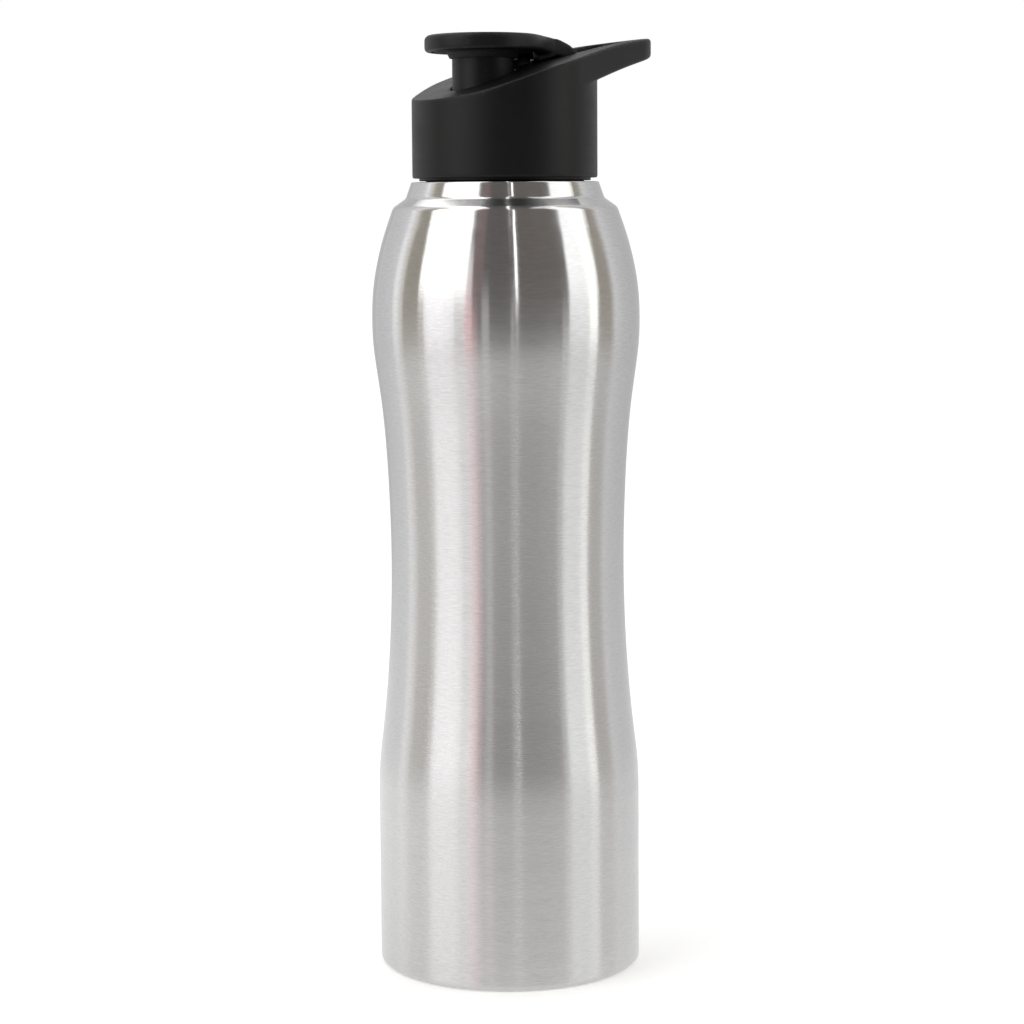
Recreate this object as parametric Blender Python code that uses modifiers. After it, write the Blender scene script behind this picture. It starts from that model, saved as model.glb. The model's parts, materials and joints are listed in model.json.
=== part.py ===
"""A 750 ml single-wall steel sports bottle with a screw cap, a drinking spout and a flip lid.

Frame: origin at the centre of the base, +Z up, +X towards the finger loop of the cap. Metres.
The cap unscrews about Z, rising one pitch a turn. The lid flips about the hinge pin, along Y.
"""

import math

import bmesh
import bpy
from mathutils import Matrix, Vector

MM = 0.001
GAP = 0.3 * MM  # between pieces that touch
ROUND_STEPS = 40  # facets round the bottle and the cap
SMALL_STEPS = 24  # facets round the small turned pieces

# Steel bottle: (height, radius) in mm down the outside, from under the shoulder to the base seam
WALL = 0.5 * MM
BASE_HEIGHT = 3.0 * MM
BASE_RADIUS = 36.1 * MM
BODY_STATIONS = (
    (205, 31.9), (200, 33.5), (194, 35.0), (187, 36.13), (179, 36.52), (172, 36.28),
    (165, 35.42), (156, 34.2), (144, 33.1), (130, 32.37), (115, 32.02), (104, 32.11),
    (90, 32.65), (76, 33.66), (64, 34.95), (56, 35.82), (46, 36.1),
)
SHOULDER_EDGE = (30.5 * MM, 208.9 * MM)  # radius, height
SHOULDER_CREASE = (27.0 * MM, 211.35 * MM)
NECK_STEP_RADIUS = 25.45 * MM
NECK_STEP_TOP = 215.75 * MM
SHOULDER_EDGE_FILLET = 2.5 * MM
SHOULDER_CREASE_FILLET = 1.6 * MM
NECK_RADIUS = 21.2 * MM
LIP_TOP = 230.0 * MM
LIP_BEAD_RADIUS = 0.7 * MM

# Screw thread, the same rounded ridge on the neck and inside the cap
PITCH = 4.0 * MM
THREAD_TURNS = 2.25
RIDGE_RADIUS = 0.7 * MM
NECK_RIDGE_CENTRE = 21.5 * MM
CAP_RIDGE_CENTRE = 22.3 * MM
NECK_THREAD_START = 218.8 * MM
FLANK_OFFSET = 1.5 * MM  # the cap's ridge bears on the neck's from this far below

# Base plate
RING_INNER = 30.5 * MM
RING_OUTER = 34.4 * MM
RECESS_RADIUS = 29.0 * MM
RECESS_DEPTH = 1.2 * MM
PLATE_THICKNESS = 0.6 * MM

# Cap: collar, deck and finger loop
COLLAR_RADIUS = 25.4 * MM
COLLAR_BORE = 24.0 * MM
COLLAR_BOTTOM = 216.75 * MM
DECK_THICKNESS = 1.8 * MM
DECK_STATIONS = (
    (-25.4, 237.4), (-18, 239.25), (-8, 242.9), (0, 245.5), (7, 247.5), (28, 252.6), (45.5, 255.3),
)
LOOP_UNDERSIDE_STATIONS = ((8, 239.6), (28, 245.7), (45.5, 250.2))
LOOP_TIP_CENTRE = 33.5 * MM
LOOP_TIP_RADIUS = 12.0 * MM
HOLE_HALF_WIDTH = 7.5 * MM
HOLE_FRONT = 13.5 * MM
HOLE_END_CENTRE = 31.0 * MM
POCKET_FLOOR = 242.4 * MM
HINGE_BLOCK_FRONT = 11.5 * MM
HINGE_BLOCK_BOTTOM = 240.8 * MM
ABOVE_CAP = 262.0 * MM

# Threaded insert of the cap, and the seal under its top
LINER_RADIUS = 23.7 * MM
LINER_BORE = 22.6 * MM
LINER_BOTTOM = NECK_STEP_TOP + GAP
GASKET_THICKNESS = 1.5 * MM
GASKET_OUTER = 22.2 * MM
GASKET_INNER = 18.6 * MM
LINER_ROOF = LIP_TOP + GASKET_THICKNESS + 2 * GAP
LINER_TOP = LINER_ROOF + 1.6 * MM

# Drinking spout, its seal and the hold-down boss in the deck
SPOUT_X = -6.6 * MM
SPOUT_RADIUS = 8.4 * MM
SPOUT_BORE = 6.0 * MM
SPOUT_TOP = 249.7 * MM
FOOT_RADIUS = 9.4 * MM
FOOT_THICKNESS = 1.3 * MM
SEAL_THICKNESS = 1.0 * MM
FOOT_BOTTOM = LINER_TOP + SEAL_THICKNESS + 2 * GAP
BOSS_RADIUS = 10.0 * MM
DRINK_HOLE_RADIUS = 5.5 * MM

# Vent valve, square to the slanted deck behind the spout
VENT_X = 5.5 * MM
VENT_DOME_RADIUS = 2.7 * MM
VENT_DOME_HEIGHT = 1.5 * MM
VENT_STEM_RADIUS = 0.9 * MM
VENT_BULB_RADIUS = 1.5 * MM
VENT_HOLE_RADIUS = 1.3 * MM

# Flip lid, its plug and its pin
HINGE_X = 20.0 * MM
HINGE_Z = 246.6 * MM
LID_RADIUS = 15.8 * MM
LID_BOTTOM = 250.3 * MM
LID_TOP = 254.9 * MM
LID_RECESS_RADIUS = 13.8 * MM
LID_RECESS_ROOF = 252.9 * MM
ARM_HALF_WIDTH = 7.0 * MM
ARM_WAIST_X = 9.8 * MM
ARM_WAIST_FILLET = 6.0 * MM
ARM_INSET = 0.6 * MM  # from the disc's side, so that the arm's edges run out into its fillets
ARM_TOP_PATH = ((1.0, 254.75), (9, 254.7), (12.6, 254.1), (16.5, 252.6), (18.8, 251.1))  # x, z in mm
ARM_UNDERSIDE_PATH = ((15.6, 248.5), (12.5, 249.5), (8, 250.1), (1.0, 250.4))
KNUCKLE_RADIUS = 3.0 * MM
RIB_FRONT = 6.8 * MM
RIB_END = 12.2 * MM
RIB_OUTER = 6.9 * MM
RIB_THICKNESS = 2.9 * MM
RIB_CLEARANCE = 0.55 * MM  # above the deck
PLUG_FLANGE_RADIUS = 13.4 * MM
PLUG_SKIRT_OUTER = 9.9 * MM
PLUG_SKIRT_TIP = 9.1 * MM
PLUG_SKIRT_BOTTOM = 248.7 * MM
PLUG_TIP_Z = 247.2 * MM
PIN_RADIUS = 1.25 * MM
PIN_CLEARANCE = 0.15 * MM
PIN_BLIND_END = -11.5 * MM
PIN_OPEN_END = 18.2 * MM

STEEL = ("brushed_steel", (0.62, 0.61, 0.60), 0.32, 1.0)
BRIGHT_STEEL = ("bright_steel", (0.70, 0.70, 0.70), 0.20, 1.0)
BLACK_PLASTIC = ("black_plastic", (0.022, 0.022, 0.024), 0.52, 0.0)
DARK_SILICONE = ("dark_silicone", (0.035, 0.035, 0.037), 0.65, 0.0)
CLEAR_SILICONE = ("clear_silicone", (0.72, 0.72, 0.70), 0.45, 0.0)


# ---------------------------------------------------------------- helpers


def clear_scene():
    for obj in list(bpy.data.objects):
        bpy.data.objects.remove(obj, do_unlink=True)


def new_collection(name):
    collection = bpy.data.collections.new(name)
    bpy.context.scene.collection.children.link(collection)
    return collection


def material(finish):
    name, colour, roughness, metallic = finish
    found = bpy.data.materials.get(name)
    if found:
        return found
    made = bpy.data.materials.new(name)
    made.use_nodes = True
    made.diffuse_color = (*colour, 1.0)
    shader = made.node_tree.nodes["Principled BSDF"]
    shader.inputs["Base Color"].default_value = (*colour, 1.0)
    shader.inputs["Roughness"].default_value = roughness
    shader.inputs["Metallic"].default_value = metallic
    return made


def add_part(name, mesh, finish, location=(0, 0, 0)):
    obj = bpy.data.objects.new(name, mesh)
    obj.location = location
    mesh.materials.append(material(finish))
    PARTS.objects.link(obj)
    return obj


def add_cutter(name, mesh, location=(0, 0, 0)):
    obj = bpy.data.objects.new(name, mesh)
    obj.location = location
    obj.hide_render = True
    obj.display_type = "WIRE"
    CUTTERS.objects.link(obj)
    return obj


def arc(centre, radius, start, end, steps):
    """Points round part of a circle, from one angle in degrees to the other, both ends included."""
    angles = [math.radians(start + (end - start) * i / steps) for i in range(steps + 1)]
    return [(centre[0] + radius * math.cos(a), centre[1] + radius * math.sin(a)) for a in angles]


def rounded_path(corners, steps=2):
    """A path through (x, y, fillet) corners, each rounded by its own fillet radius."""
    path = []
    for i, (x, y, fillet) in enumerate(corners):
        if fillet == 0 or i in (0, len(corners) - 1):
            path.append((x, y))
            continue
        here = Vector((x, y))
        back = (Vector(corners[i - 1][:2]) - here).normalized()
        ahead = (Vector(corners[i + 1][:2]) - here).normalized()
        half = back.angle(ahead) / 2
        centre = here + (back + ahead).normalized() * (fillet / math.sin(half))
        first = here + back * (fillet / math.tan(half)) - centre
        last = here + ahead * (fillet / math.tan(half)) - centre
        turn = first.angle_signed(last)
        for step in range(steps + 1):
            spoke = Matrix.Rotation(-turn * step / steps, 2) @ first
            path.append(tuple(centre + spoke))
    return path


def height_through(stations, x):
    """Height at x of the smooth curve through (x, height) stations in mm, in metres."""
    points = [(a * MM, b * MM) for a, b in stations]
    last = len(points) - 1

    def slope(i):
        low, high = points[max(i - 1, 0)], points[min(i + 1, last)]
        return (high[1] - low[1]) / (high[0] - low[0])

    i = next((k for k in range(last) if x <= points[k + 1][0]), last - 1)
    (x0, y0), (x1, y1) = points[i], points[i + 1]
    span = x1 - x0
    t = (x - x0) / span
    start, end = slope(i) * span, slope(i + 1) * span
    return (
        (2 * t**3 - 3 * t**2 + 1) * y0
        + (t**3 - 2 * t**2 + t) * start
        + (3 * t**2 - 2 * t**3) * y1
        + (t**3 - t**2) * end
    )


def deck_height(x):
    return height_through(DECK_STATIONS, x)


def shade(mesh):
    mesh.shade_smooth()
    mesh.set_sharp_from_angle(angle=math.radians(35))


def profile_mesh(name, path, closed):
    """The outline of a turned piece as edges in the XZ plane, from (radius, height) points."""
    count = len(path)
    edges = [(i, (i + 1) % count) for i in range(count if closed else count - 1)]
    mesh = bpy.data.meshes.new(name)
    mesh.from_pydata([(r, 0, z) for r, z in path], edges, [])
    return mesh


def add_screw(obj, steps):
    """Turns the profile a full circle round the object's own Z."""
    screw = obj.modifiers.new("turn", "SCREW")
    screw.axis = "Z"
    screw.steps = steps
    screw.render_steps = steps
    screw.use_merge_vertices = True
    screw.merge_threshold = 0.00001
    screw.use_smooth_shade = True


def turned(name, path, finish, steps=ROUND_STEPS, location=(0, 0, 0), closed=False):
    obj = add_part(name, profile_mesh(name, path, closed), finish, location)
    add_screw(obj, steps)
    return obj


def boolean(obj, operation, other):
    modifier = obj.modifiers.new(other.name, "BOOLEAN")
    modifier.operation = operation
    modifier.object = other
    modifier.solver = "EXACT"


def cylinder_mesh(name, radius, length, steps):
    """A closed cylinder along Z, centred on its origin."""
    mesh = bpy.data.meshes.new(name)
    shape = bmesh.new()
    bmesh.ops.create_cone(
        shape, cap_ends=True, segments=steps, radius1=radius, radius2=radius, depth=length
    )
    shape.to_mesh(mesh)
    shape.free()
    return mesh


def upright_cutter(name, x, radius, bottom, top, steps=ROUND_STEPS):
    mesh = cylinder_mesh(name, radius, top - bottom, steps)
    return add_cutter(name, mesh, (x, 0, (bottom + top) / 2))


def solid_from_curve(name, curve):
    """The closed mesh of a curve with filled ends, welded where its caps meet its sides."""
    guide = bpy.data.objects.new(name, curve)
    bpy.context.scene.collection.objects.link(guide)
    graph = bpy.context.evaluated_depsgraph_get()
    mesh = bpy.data.meshes.new_from_object(guide.evaluated_get(graph))
    bpy.data.objects.remove(guide)
    mesh.name = name
    mesh.materials.clear()
    shape = bmesh.new()
    shape.from_mesh(mesh)
    bmesh.ops.remove_doubles(shape, verts=shape.verts, dist=0.000001)
    bmesh.ops.recalc_face_normals(shape, faces=shape.faces)
    shape.to_mesh(mesh)
    shape.free()
    return mesh


def poly_spline(curve, points, cyclic, radii=None):
    spline = curve.splines.new("POLY")
    spline.points.add(len(points) - 1)
    for i, (point, place) in enumerate(zip(spline.points, points)):
        point.co = (*place, 1)
        point.radius = radii[i] if radii else 1.0
    spline.use_cyclic_u = cyclic


def plate_mesh(name, outline, low, high, turn=Matrix.Identity(4)):
    """A flat outline in XY as a slab from one height to another, then turned."""
    curve = bpy.data.curves.new(name, "CURVE")
    curve.dimensions = "2D"
    curve.fill_mode = "BOTH"
    curve.extrude = (high - low) / 2
    poly_spline(curve, [(x, y, 0) for x, y in outline], cyclic=True)
    mesh = solid_from_curve(name, curve)
    mesh.transform(Matrix.Translation((0, 0, (high + low) / 2)))
    mesh.transform(turn)
    return mesh


def side_plate_mesh(name, outline, half_width):
    """An outline in the XZ plane, extruded to both sides along Y."""
    return plate_mesh(name, outline, -half_width, half_width, Matrix.Rotation(math.pi / 2, 4, "X"))


def thread_ridge(name, centre_radius, start):
    """A helical ridge that fades out at both ends."""
    steps = round(ROUND_STEPS * THREAD_TURNS)
    fade = ROUND_STEPS // 6
    points, radii = [], []
    for i in range(steps + 1):
        angle = 2 * math.pi * i / ROUND_STEPS
        height = start + PITCH * i / ROUND_STEPS
        points.append((centre_radius * math.cos(angle), centre_radius * math.sin(angle), height))
        from_end = min(i, steps - i) / fade
        radii.append(0.45 + 0.55 * min(1.0, from_end))
    curve = bpy.data.curves.new(name, "CURVE")
    curve.dimensions = "3D"
    curve.bevel_depth = RIDGE_RADIUS
    curve.bevel_resolution = 1
    curve.use_fill_caps = True
    poly_spline(curve, points, cyclic=False, radii=radii)
    return add_cutter(name, solid_from_curve(name, curve))


def hang_on(parent, *objs):
    """Makes the objects move with the parent and leaves them where they are."""
    bpy.context.view_layer.update()
    for obj in objs:
        obj.parent = parent
        obj.matrix_parent_inverse = parent.matrix_world.inverted()


def axis_empty(name, location):
    empty = bpy.data.objects.new(name, None)
    empty.location = location
    empty.empty_display_size = 0.02
    PARTS.objects.link(empty)
    return empty


# ---------------------------------------------------------------- bottle


def make_bottle_body():
    """The drawn shell: rolled lip, threaded neck, stepped shoulder, hourglass wall."""
    curl_end = NECK_RADIUS - 2 * LIP_BEAD_RADIUS
    corners = [
        (curl_end, LIP_TOP - 1.4 * MM, 0),
        (curl_end, LIP_TOP, LIP_BEAD_RADIUS - 0.01 * MM),
        (NECK_RADIUS, LIP_TOP, LIP_BEAD_RADIUS - 0.01 * MM),
        (NECK_RADIUS, NECK_STEP_TOP, 0.7 * MM),
        (NECK_STEP_RADIUS, NECK_STEP_TOP, 0.45 * MM),
        (*SHOULDER_CREASE, SHOULDER_CREASE_FILLET),
        (*SHOULDER_EDGE, SHOULDER_EDGE_FILLET),
    ]
    wall = [(radius * MM, height * MM) for height, radius in BODY_STATIONS]
    foot = (BASE_RADIUS, BASE_HEIGHT + GAP)
    path = rounded_path([*corners, (*wall[0], 0)], steps=3) + wall[1:] + [foot]
    body = turned("bottle_body", path, STEEL)
    shell = body.modifiers.new("wall", "SOLIDIFY")
    shell.thickness = WALL
    shell.offset = -1
    shell.use_even_offset = True
    boolean(body, "UNION", thread_ridge("neck_thread", NECK_RIDGE_CENTRE, NECK_THREAD_START))
    return body


def make_base_plate():
    """The pressed base: a contact ring round a shallow recess, with an upturned rim."""
    corner = BASE_RADIUS - RING_OUTER
    inner_corner = corner - PLATE_THICKNESS
    ring_slope_top = RECESS_DEPTH + PLATE_THICKNESS
    inside = [
        (0, ring_slope_top),
        (RECESS_RADIUS - 0.3 * MM, ring_slope_top),
        (RING_INNER - 0.3 * MM, PLATE_THICKNESS),
    ]
    corner_inside = arc((RING_OUTER, corner), inner_corner, -90, 0, 3)
    corner_outside = arc((RING_OUTER, corner), corner, 0, -90, 3)
    rims = [(BASE_RADIUS - PLATE_THICKNESS, BASE_HEIGHT), (BASE_RADIUS, BASE_HEIGHT)]
    under = [(RING_INNER, 0), (RECESS_RADIUS, RECESS_DEPTH), (0, RECESS_DEPTH)]
    path = inside + corner_inside + rims + corner_outside + under
    return turned("base_plate", path, STEEL)


# ---------------------------------------------------------------- cap


def underside_of_deck():
    """The deck's lower surface in side view, from the front of the bore to the hinge block."""
    front, count = -COLLAR_BORE - 1 * MM, 7
    places = [front + (HINGE_BLOCK_FRONT - front) * i / count for i in range(count + 1)]
    return [(x, deck_height(x) - DECK_THICKNESS) for x in places]


def cap_cavity():
    """The hollow of the collar: up to the deck, but round the hinge block and the spout's boss."""
    reach = COLLAR_BORE + 1 * MM
    below = COLLAR_BOTTOM - 1 * MM
    outline = [
        (-reach, below),
        (reach, below),
        (reach, HINGE_BLOCK_BOTTOM),
        (HINGE_BLOCK_FRONT, HINGE_BLOCK_BOTTOM),
        *reversed(underside_of_deck()),
    ]
    cavity = add_cutter("cap_cavity", side_plate_mesh("cap_cavity", outline, reach))
    bore = upright_cutter("collar_bore", 0, COLLAR_BORE, below - 1 * MM, ABOVE_CAP)
    boss_bottom = FOOT_BOTTOM + FOOT_THICKNESS + GAP
    boss = upright_cutter("spout_boss", SPOUT_X, BOSS_RADIUS, boss_bottom, ABOVE_CAP)
    boolean(cavity, "INTERSECT", bore)
    boolean(cavity, "DIFFERENCE", boss)
    return cavity


def finger_loop():
    """The loop's slab in plan: two lines tangent to the collar, closed by the round tip."""
    tangent = math.degrees(math.acos((COLLAR_RADIUS - LOOP_TIP_RADIUS) / LOOP_TIP_CENTRE))
    root = arc((0, 0), COLLAR_RADIUS, -tangent, tangent, 1)
    tip = arc((LOOP_TIP_CENTRE, 0), LOOP_TIP_RADIUS, tangent, -tangent, 16)
    bottom = COLLAR_BOTTOM + 5 * MM
    loop = add_cutter("finger_loop", plate_mesh("finger_loop", root + tip, bottom, ABOVE_CAP))
    end = LOOP_TIP_CENTRE + LOOP_TIP_RADIUS + 1 * MM
    front, count = COLLAR_RADIUS / 3, 6
    places = [front + (end - front) * i / count for i in range(count + 1)]
    underside = [(x, height_through(LOOP_UNDERSIDE_STATIONS, x)) for x in places]
    outline = [(front, ABOVE_CAP + 1 * MM), *underside, (end, ABOVE_CAP + 1 * MM)]
    slab = add_cutter("loop_slab", side_plate_mesh("loop_slab", outline, COLLAR_RADIUS + 1 * MM))
    boolean(loop, "INTERSECT", slab)
    return loop


def above_deck():
    """All that lies above the slanted top of the cap."""
    front = -COLLAR_RADIUS - 1 * MM
    end = LOOP_TIP_CENTRE + LOOP_TIP_RADIUS + 2 * MM
    count = 14
    places = [front + (end - front) * i / count for i in range(count + 1)]
    top = [(x, deck_height(x)) for x in places]
    outline = [*top, (end, ABOVE_CAP + 2 * MM), (front, ABOVE_CAP + 2 * MM)]
    return add_cutter("above_deck", side_plate_mesh("above_deck", outline, COLLAR_RADIUS + 2 * MM))


def hinge_and_finger_hole():
    """The slot between the ears, which runs on into the finger hole with its round end."""
    end = arc((HOLE_END_CENTRE, 0), HOLE_HALF_WIDTH, 90, -90, 12)
    front = [(HOLE_FRONT, -HOLE_HALF_WIDTH), (HOLE_FRONT, HOLE_HALF_WIDTH)]
    mesh = plate_mesh("finger_hole", front + end, POCKET_FLOOR, ABOVE_CAP + 3 * MM)
    return add_cutter("finger_hole", mesh)


def cross_cutter(name, radius, low, high):
    """A cylinder along Y on the lid's hinge axis."""
    mesh = cylinder_mesh(name, radius, high - low, SMALL_STEPS)
    mesh.transform(Matrix.Rotation(math.pi / 2, 4, "X"))
    return add_cutter(name, mesh, (HINGE_X, (low + high) / 2, HINGE_Z))


def vent_tilt():
    """The deck's slope at the vent, as a turn about Y."""
    reach = 2 * MM
    rise = deck_height(VENT_X + reach) - deck_height(VENT_X - reach)
    return -math.atan2(rise, 2 * reach)


def make_cap_shell():
    """The outer moulding: collar, slanted deck, finger loop and hinge ears in one."""
    height = ABOVE_CAP - COLLAR_BOTTOM
    mesh = cylinder_mesh("cap_shell", COLLAR_RADIUS, height, ROUND_STEPS)
    shell = add_part("cap_shell", mesh, BLACK_PLASTIC, (0, 0, COLLAR_BOTTOM + height / 2))
    boolean(shell, "UNION", finger_loop())
    boolean(shell, "DIFFERENCE", above_deck())
    boolean(shell, "DIFFERENCE", cap_cavity())
    boolean(shell, "DIFFERENCE", hinge_and_finger_hole())
    spout_hole_radius = SPOUT_RADIUS + GAP
    spout_hole = upright_cutter("spout_hole", SPOUT_X, spout_hole_radius, LINER_TOP, ABOVE_CAP, 32)
    boolean(shell, "DIFFERENCE", spout_hole)
    vent_hole = add_cutter(
        "vent_hole",
        cylinder_mesh("vent_hole", VENT_HOLE_RADIUS, 4 * DECK_THICKNESS, SMALL_STEPS),
        (VENT_X, 0, deck_height(VENT_X)),
    )
    vent_hole.rotation_euler.y = vent_tilt()
    boolean(shell, "DIFFERENCE", vent_hole)
    beyond_bar = COLLAR_RADIUS
    pin_bore = cross_cutter("pin_bore", PIN_RADIUS + PIN_CLEARANCE, PIN_BLIND_END, beyond_bar)
    boolean(shell, "DIFFERENCE", pin_bore)
    return shell


def make_cap_liner():
    """The threaded insert. Its lower edge shows as the black ring under the collar."""
    path = rounded_path(
        [
            (0, LINER_TOP, 0),
            (LINER_RADIUS, LINER_TOP, 0.6 * MM),
            (LINER_RADIUS, LINER_BOTTOM, 0),
            (LINER_BORE, LINER_BOTTOM, 0),
            (LINER_BORE, LINER_ROOF, 0),
            (0, LINER_ROOF, 0),
        ]
    )
    liner = turned("cap_liner", path, BLACK_PLASTIC)
    start = NECK_THREAD_START - FLANK_OFFSET
    boolean(liner, "UNION", thread_ridge("cap_thread", CAP_RIDGE_CENTRE, start))
    low, high = LINER_ROOF - 2 * MM, LINER_TOP + 2 * MM
    drink = upright_cutter("drink_hole", SPOUT_X, DRINK_HOLE_RADIUS, low, high, SMALL_STEPS)
    vent = upright_cutter("vent_passage", VENT_X, 1.5 * MM, low, high, SMALL_STEPS)
    boolean(liner, "DIFFERENCE", drink)
    boolean(liner, "DIFFERENCE", vent)
    return liner


def ring(name, inner, outer, bottom, thickness, finish, x=0.0, steps=ROUND_STEPS):
    """A flat washer round an upright axis."""
    top = bottom + thickness
    path = [(inner, top), (outer, top), (outer, bottom), (inner, bottom)]
    return turned(name, path, finish, steps, (x, 0, 0), closed=True)


def make_cap_gasket():
    bottom = LIP_TOP + GAP
    return ring(
        "cap_gasket", GASKET_INNER, GASKET_OUTER, bottom, GASKET_THICKNESS, CLEAR_SILICONE
    )


def make_spout_seal():
    inner, outer = SPOUT_BORE + 0.4 * MM, FOOT_RADIUS
    bottom = LINER_TOP + GAP
    return ring(
        "spout_seal", inner, outer, bottom, SEAL_THICKNESS, CLEAR_SILICONE, SPOUT_X, SMALL_STEPS
    )


def make_drinking_spout():
    """The mouthpiece: a straight tube with a softened rim, on a wider foot."""
    foot_top = FOOT_BOTTOM + FOOT_THICKNESS
    path = rounded_path(
        [
            (SPOUT_BORE, FOOT_BOTTOM, 0),
            (SPOUT_BORE, SPOUT_TOP, 0.8 * MM),
            (SPOUT_RADIUS, SPOUT_TOP, 0.8 * MM),
            (SPOUT_RADIUS, foot_top, 0),
            (FOOT_RADIUS, foot_top, 0),
            (FOOT_RADIUS, FOOT_BOTTOM, 0),
        ]
    )
    return turned("drinking_spout", path, BLACK_PLASTIC, 32, (SPOUT_X, 0, 0), closed=True)


def make_vent_valve():
    """A soft mushroom: dome on the deck, stem through it, bulb beneath it."""
    bulb_top = -DECK_THICKNESS - GAP
    dome_rim = GAP + 0.5 * MM
    path = [
        (0, GAP + VENT_DOME_HEIGHT),
        (0.55 * VENT_DOME_RADIUS, GAP + 0.8 * VENT_DOME_HEIGHT),
        (0.9 * VENT_DOME_RADIUS, dome_rim + 0.3 * MM),
        (VENT_DOME_RADIUS, dome_rim),
        (VENT_DOME_RADIUS, GAP),
        (VENT_STEM_RADIUS, GAP),
        (VENT_STEM_RADIUS, bulb_top),
        (VENT_BULB_RADIUS, bulb_top),
        (0.5 * VENT_BULB_RADIUS, bulb_top - 1.4 * MM),
        (0, bulb_top - 1.4 * MM),
    ]
    valve = turned(
        "vent_valve", path, DARK_SILICONE, SMALL_STEPS, (VENT_X, 0, deck_height(VENT_X))
    )
    valve.rotation_euler.y = vent_tilt()
    return valve


def make_hinge_pin():
    low = PIN_BLIND_END + GAP
    mesh = cylinder_mesh("hinge_pin", PIN_RADIUS, PIN_OPEN_END - low, SMALL_STEPS)
    mesh.transform(Matrix.Rotation(math.pi / 2, 4, "X"))
    shade(mesh)
    return add_part("hinge_pin", mesh, BRIGHT_STEEL, (HINGE_X, (low + PIN_OPEN_END) / 2, HINGE_Z))


# ---------------------------------------------------------------- lid


def arm_from_above():
    """The arm in plan: it leaves the disc at a tangent and narrows to fit between the ears."""
    radius = LID_RADIUS - ARM_INSET
    reach = ARM_WAIST_X - SPOUT_X
    spread = math.acos(radius / math.hypot(reach, ARM_HALF_WIDTH))
    tangent = math.atan2(ARM_HALF_WIDTH, reach) + spread
    side = rounded_path(
        [
            (SPOUT_X + radius * math.cos(tangent), radius * math.sin(tangent), 0),
            (ARM_WAIST_X, ARM_HALF_WIDTH, ARM_WAIST_FILLET),
            (HINGE_X + 2 * KNUCKLE_RADIUS, ARM_HALF_WIDTH, 0),
        ],
        steps=4,
    )
    outline = [*side, *((x, -y) for x, y in reversed(side))]
    low, high = HINGE_Z - 2 * KNUCKLE_RADIUS, ABOVE_CAP
    return add_cutter("arm_from_above", plate_mesh("arm_from_above", outline, low, high))


def lid_arm():
    """The arm in side view: it runs on from the disc, bends down and wraps the pin."""
    top = [(x * MM, z * MM) for x, z in ARM_TOP_PATH]
    knuckle = arc((HINGE_X, HINGE_Z), KNUCKLE_RADIUS, 70, -180, 12)
    under = [(x * MM, z * MM) for x, z in ARM_UNDERSIDE_PATH]
    arm = add_cutter("lid_arm", side_plate_mesh("lid_arm", top + knuckle + under, LID_RADIUS))
    boolean(arm, "INTERSECT", arm_from_above())
    return arm


def arm_rib(name, side):
    """A rib under the arm, which follows the slanted deck just above it. side is 1 or -1."""
    root = LID_BOTTOM + 1 * MM
    outline = [
        (RIB_FRONT, root),
        (RIB_FRONT, deck_height(RIB_FRONT) + RIB_CLEARANCE),
        (RIB_END, deck_height(RIB_END) + RIB_CLEARANCE),
        (RIB_END, root),
    ]
    mesh = side_plate_mesh(name, outline, RIB_THICKNESS / 2)
    return add_cutter(name, mesh, (0, side * (RIB_OUTER - RIB_THICKNESS / 2), 0))


def make_flip_lid():
    """The round lid over the spout with its hinge arm, hollowed underneath for the plug."""
    path = rounded_path(
        [
            (0, LID_TOP, 0),
            (LID_RADIUS, LID_TOP, 1.5 * MM),
            (LID_RADIUS, LID_BOTTOM, 1.0 * MM),
            (0, LID_BOTTOM, 0),
        ]
    )
    lid = turned("flip_lid", path, BLACK_PLASTIC, location=(SPOUT_X, 0, 0))
    boolean(lid, "UNION", lid_arm())
    boolean(lid, "UNION", arm_rib("near_rib", -1))
    boolean(lid, "UNION", arm_rib("far_rib", 1))
    below = LID_BOTTOM - 2 * MM
    recess = upright_cutter("lid_recess", SPOUT_X, LID_RECESS_RADIUS, below, LID_RECESS_ROOF)
    boolean(lid, "DIFFERENCE", recess)
    reach = ARM_HALF_WIDTH + 2 * MM
    bore = cross_cutter("knuckle_bore", PIN_RADIUS + PIN_CLEARANCE, -reach, reach)
    boolean(lid, "DIFFERENCE", bore)
    return lid


def make_lid_plug():
    """The soft plug: a flange over the spout's rim, a short skirt round it, a nub in its bore."""
    flange_top = LID_RECESS_ROOF - GAP
    flange_bottom = LID_BOTTOM - GAP
    path = rounded_path(
        [
            (0, flange_top, 0),
            (PLUG_FLANGE_RADIUS, flange_top, 0),
            (PLUG_FLANGE_RADIUS, flange_bottom, 0),
            (PLUG_SKIRT_OUTER, flange_bottom, 0),
            (PLUG_SKIRT_TIP, PLUG_SKIRT_BOTTOM, 0),
            (SPOUT_RADIUS + GAP, PLUG_SKIRT_BOTTOM, 0),
            (SPOUT_RADIUS + GAP, flange_bottom, 0),
            (SPOUT_BORE - 0.9 * MM, flange_bottom, 0),
            (SPOUT_BORE - 1.2 * MM, PLUG_TIP_Z, 0.6 * MM),
            (0, PLUG_TIP_Z, 0),
        ]
    )
    return turned("lid_plug", path, DARK_SILICONE, 32, (SPOUT_X, 0, 0))


# ---------------------------------------------------------------- assembly

clear_scene()
PARTS = new_collection("water_bottle")
CUTTERS = new_collection("cutters")

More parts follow.
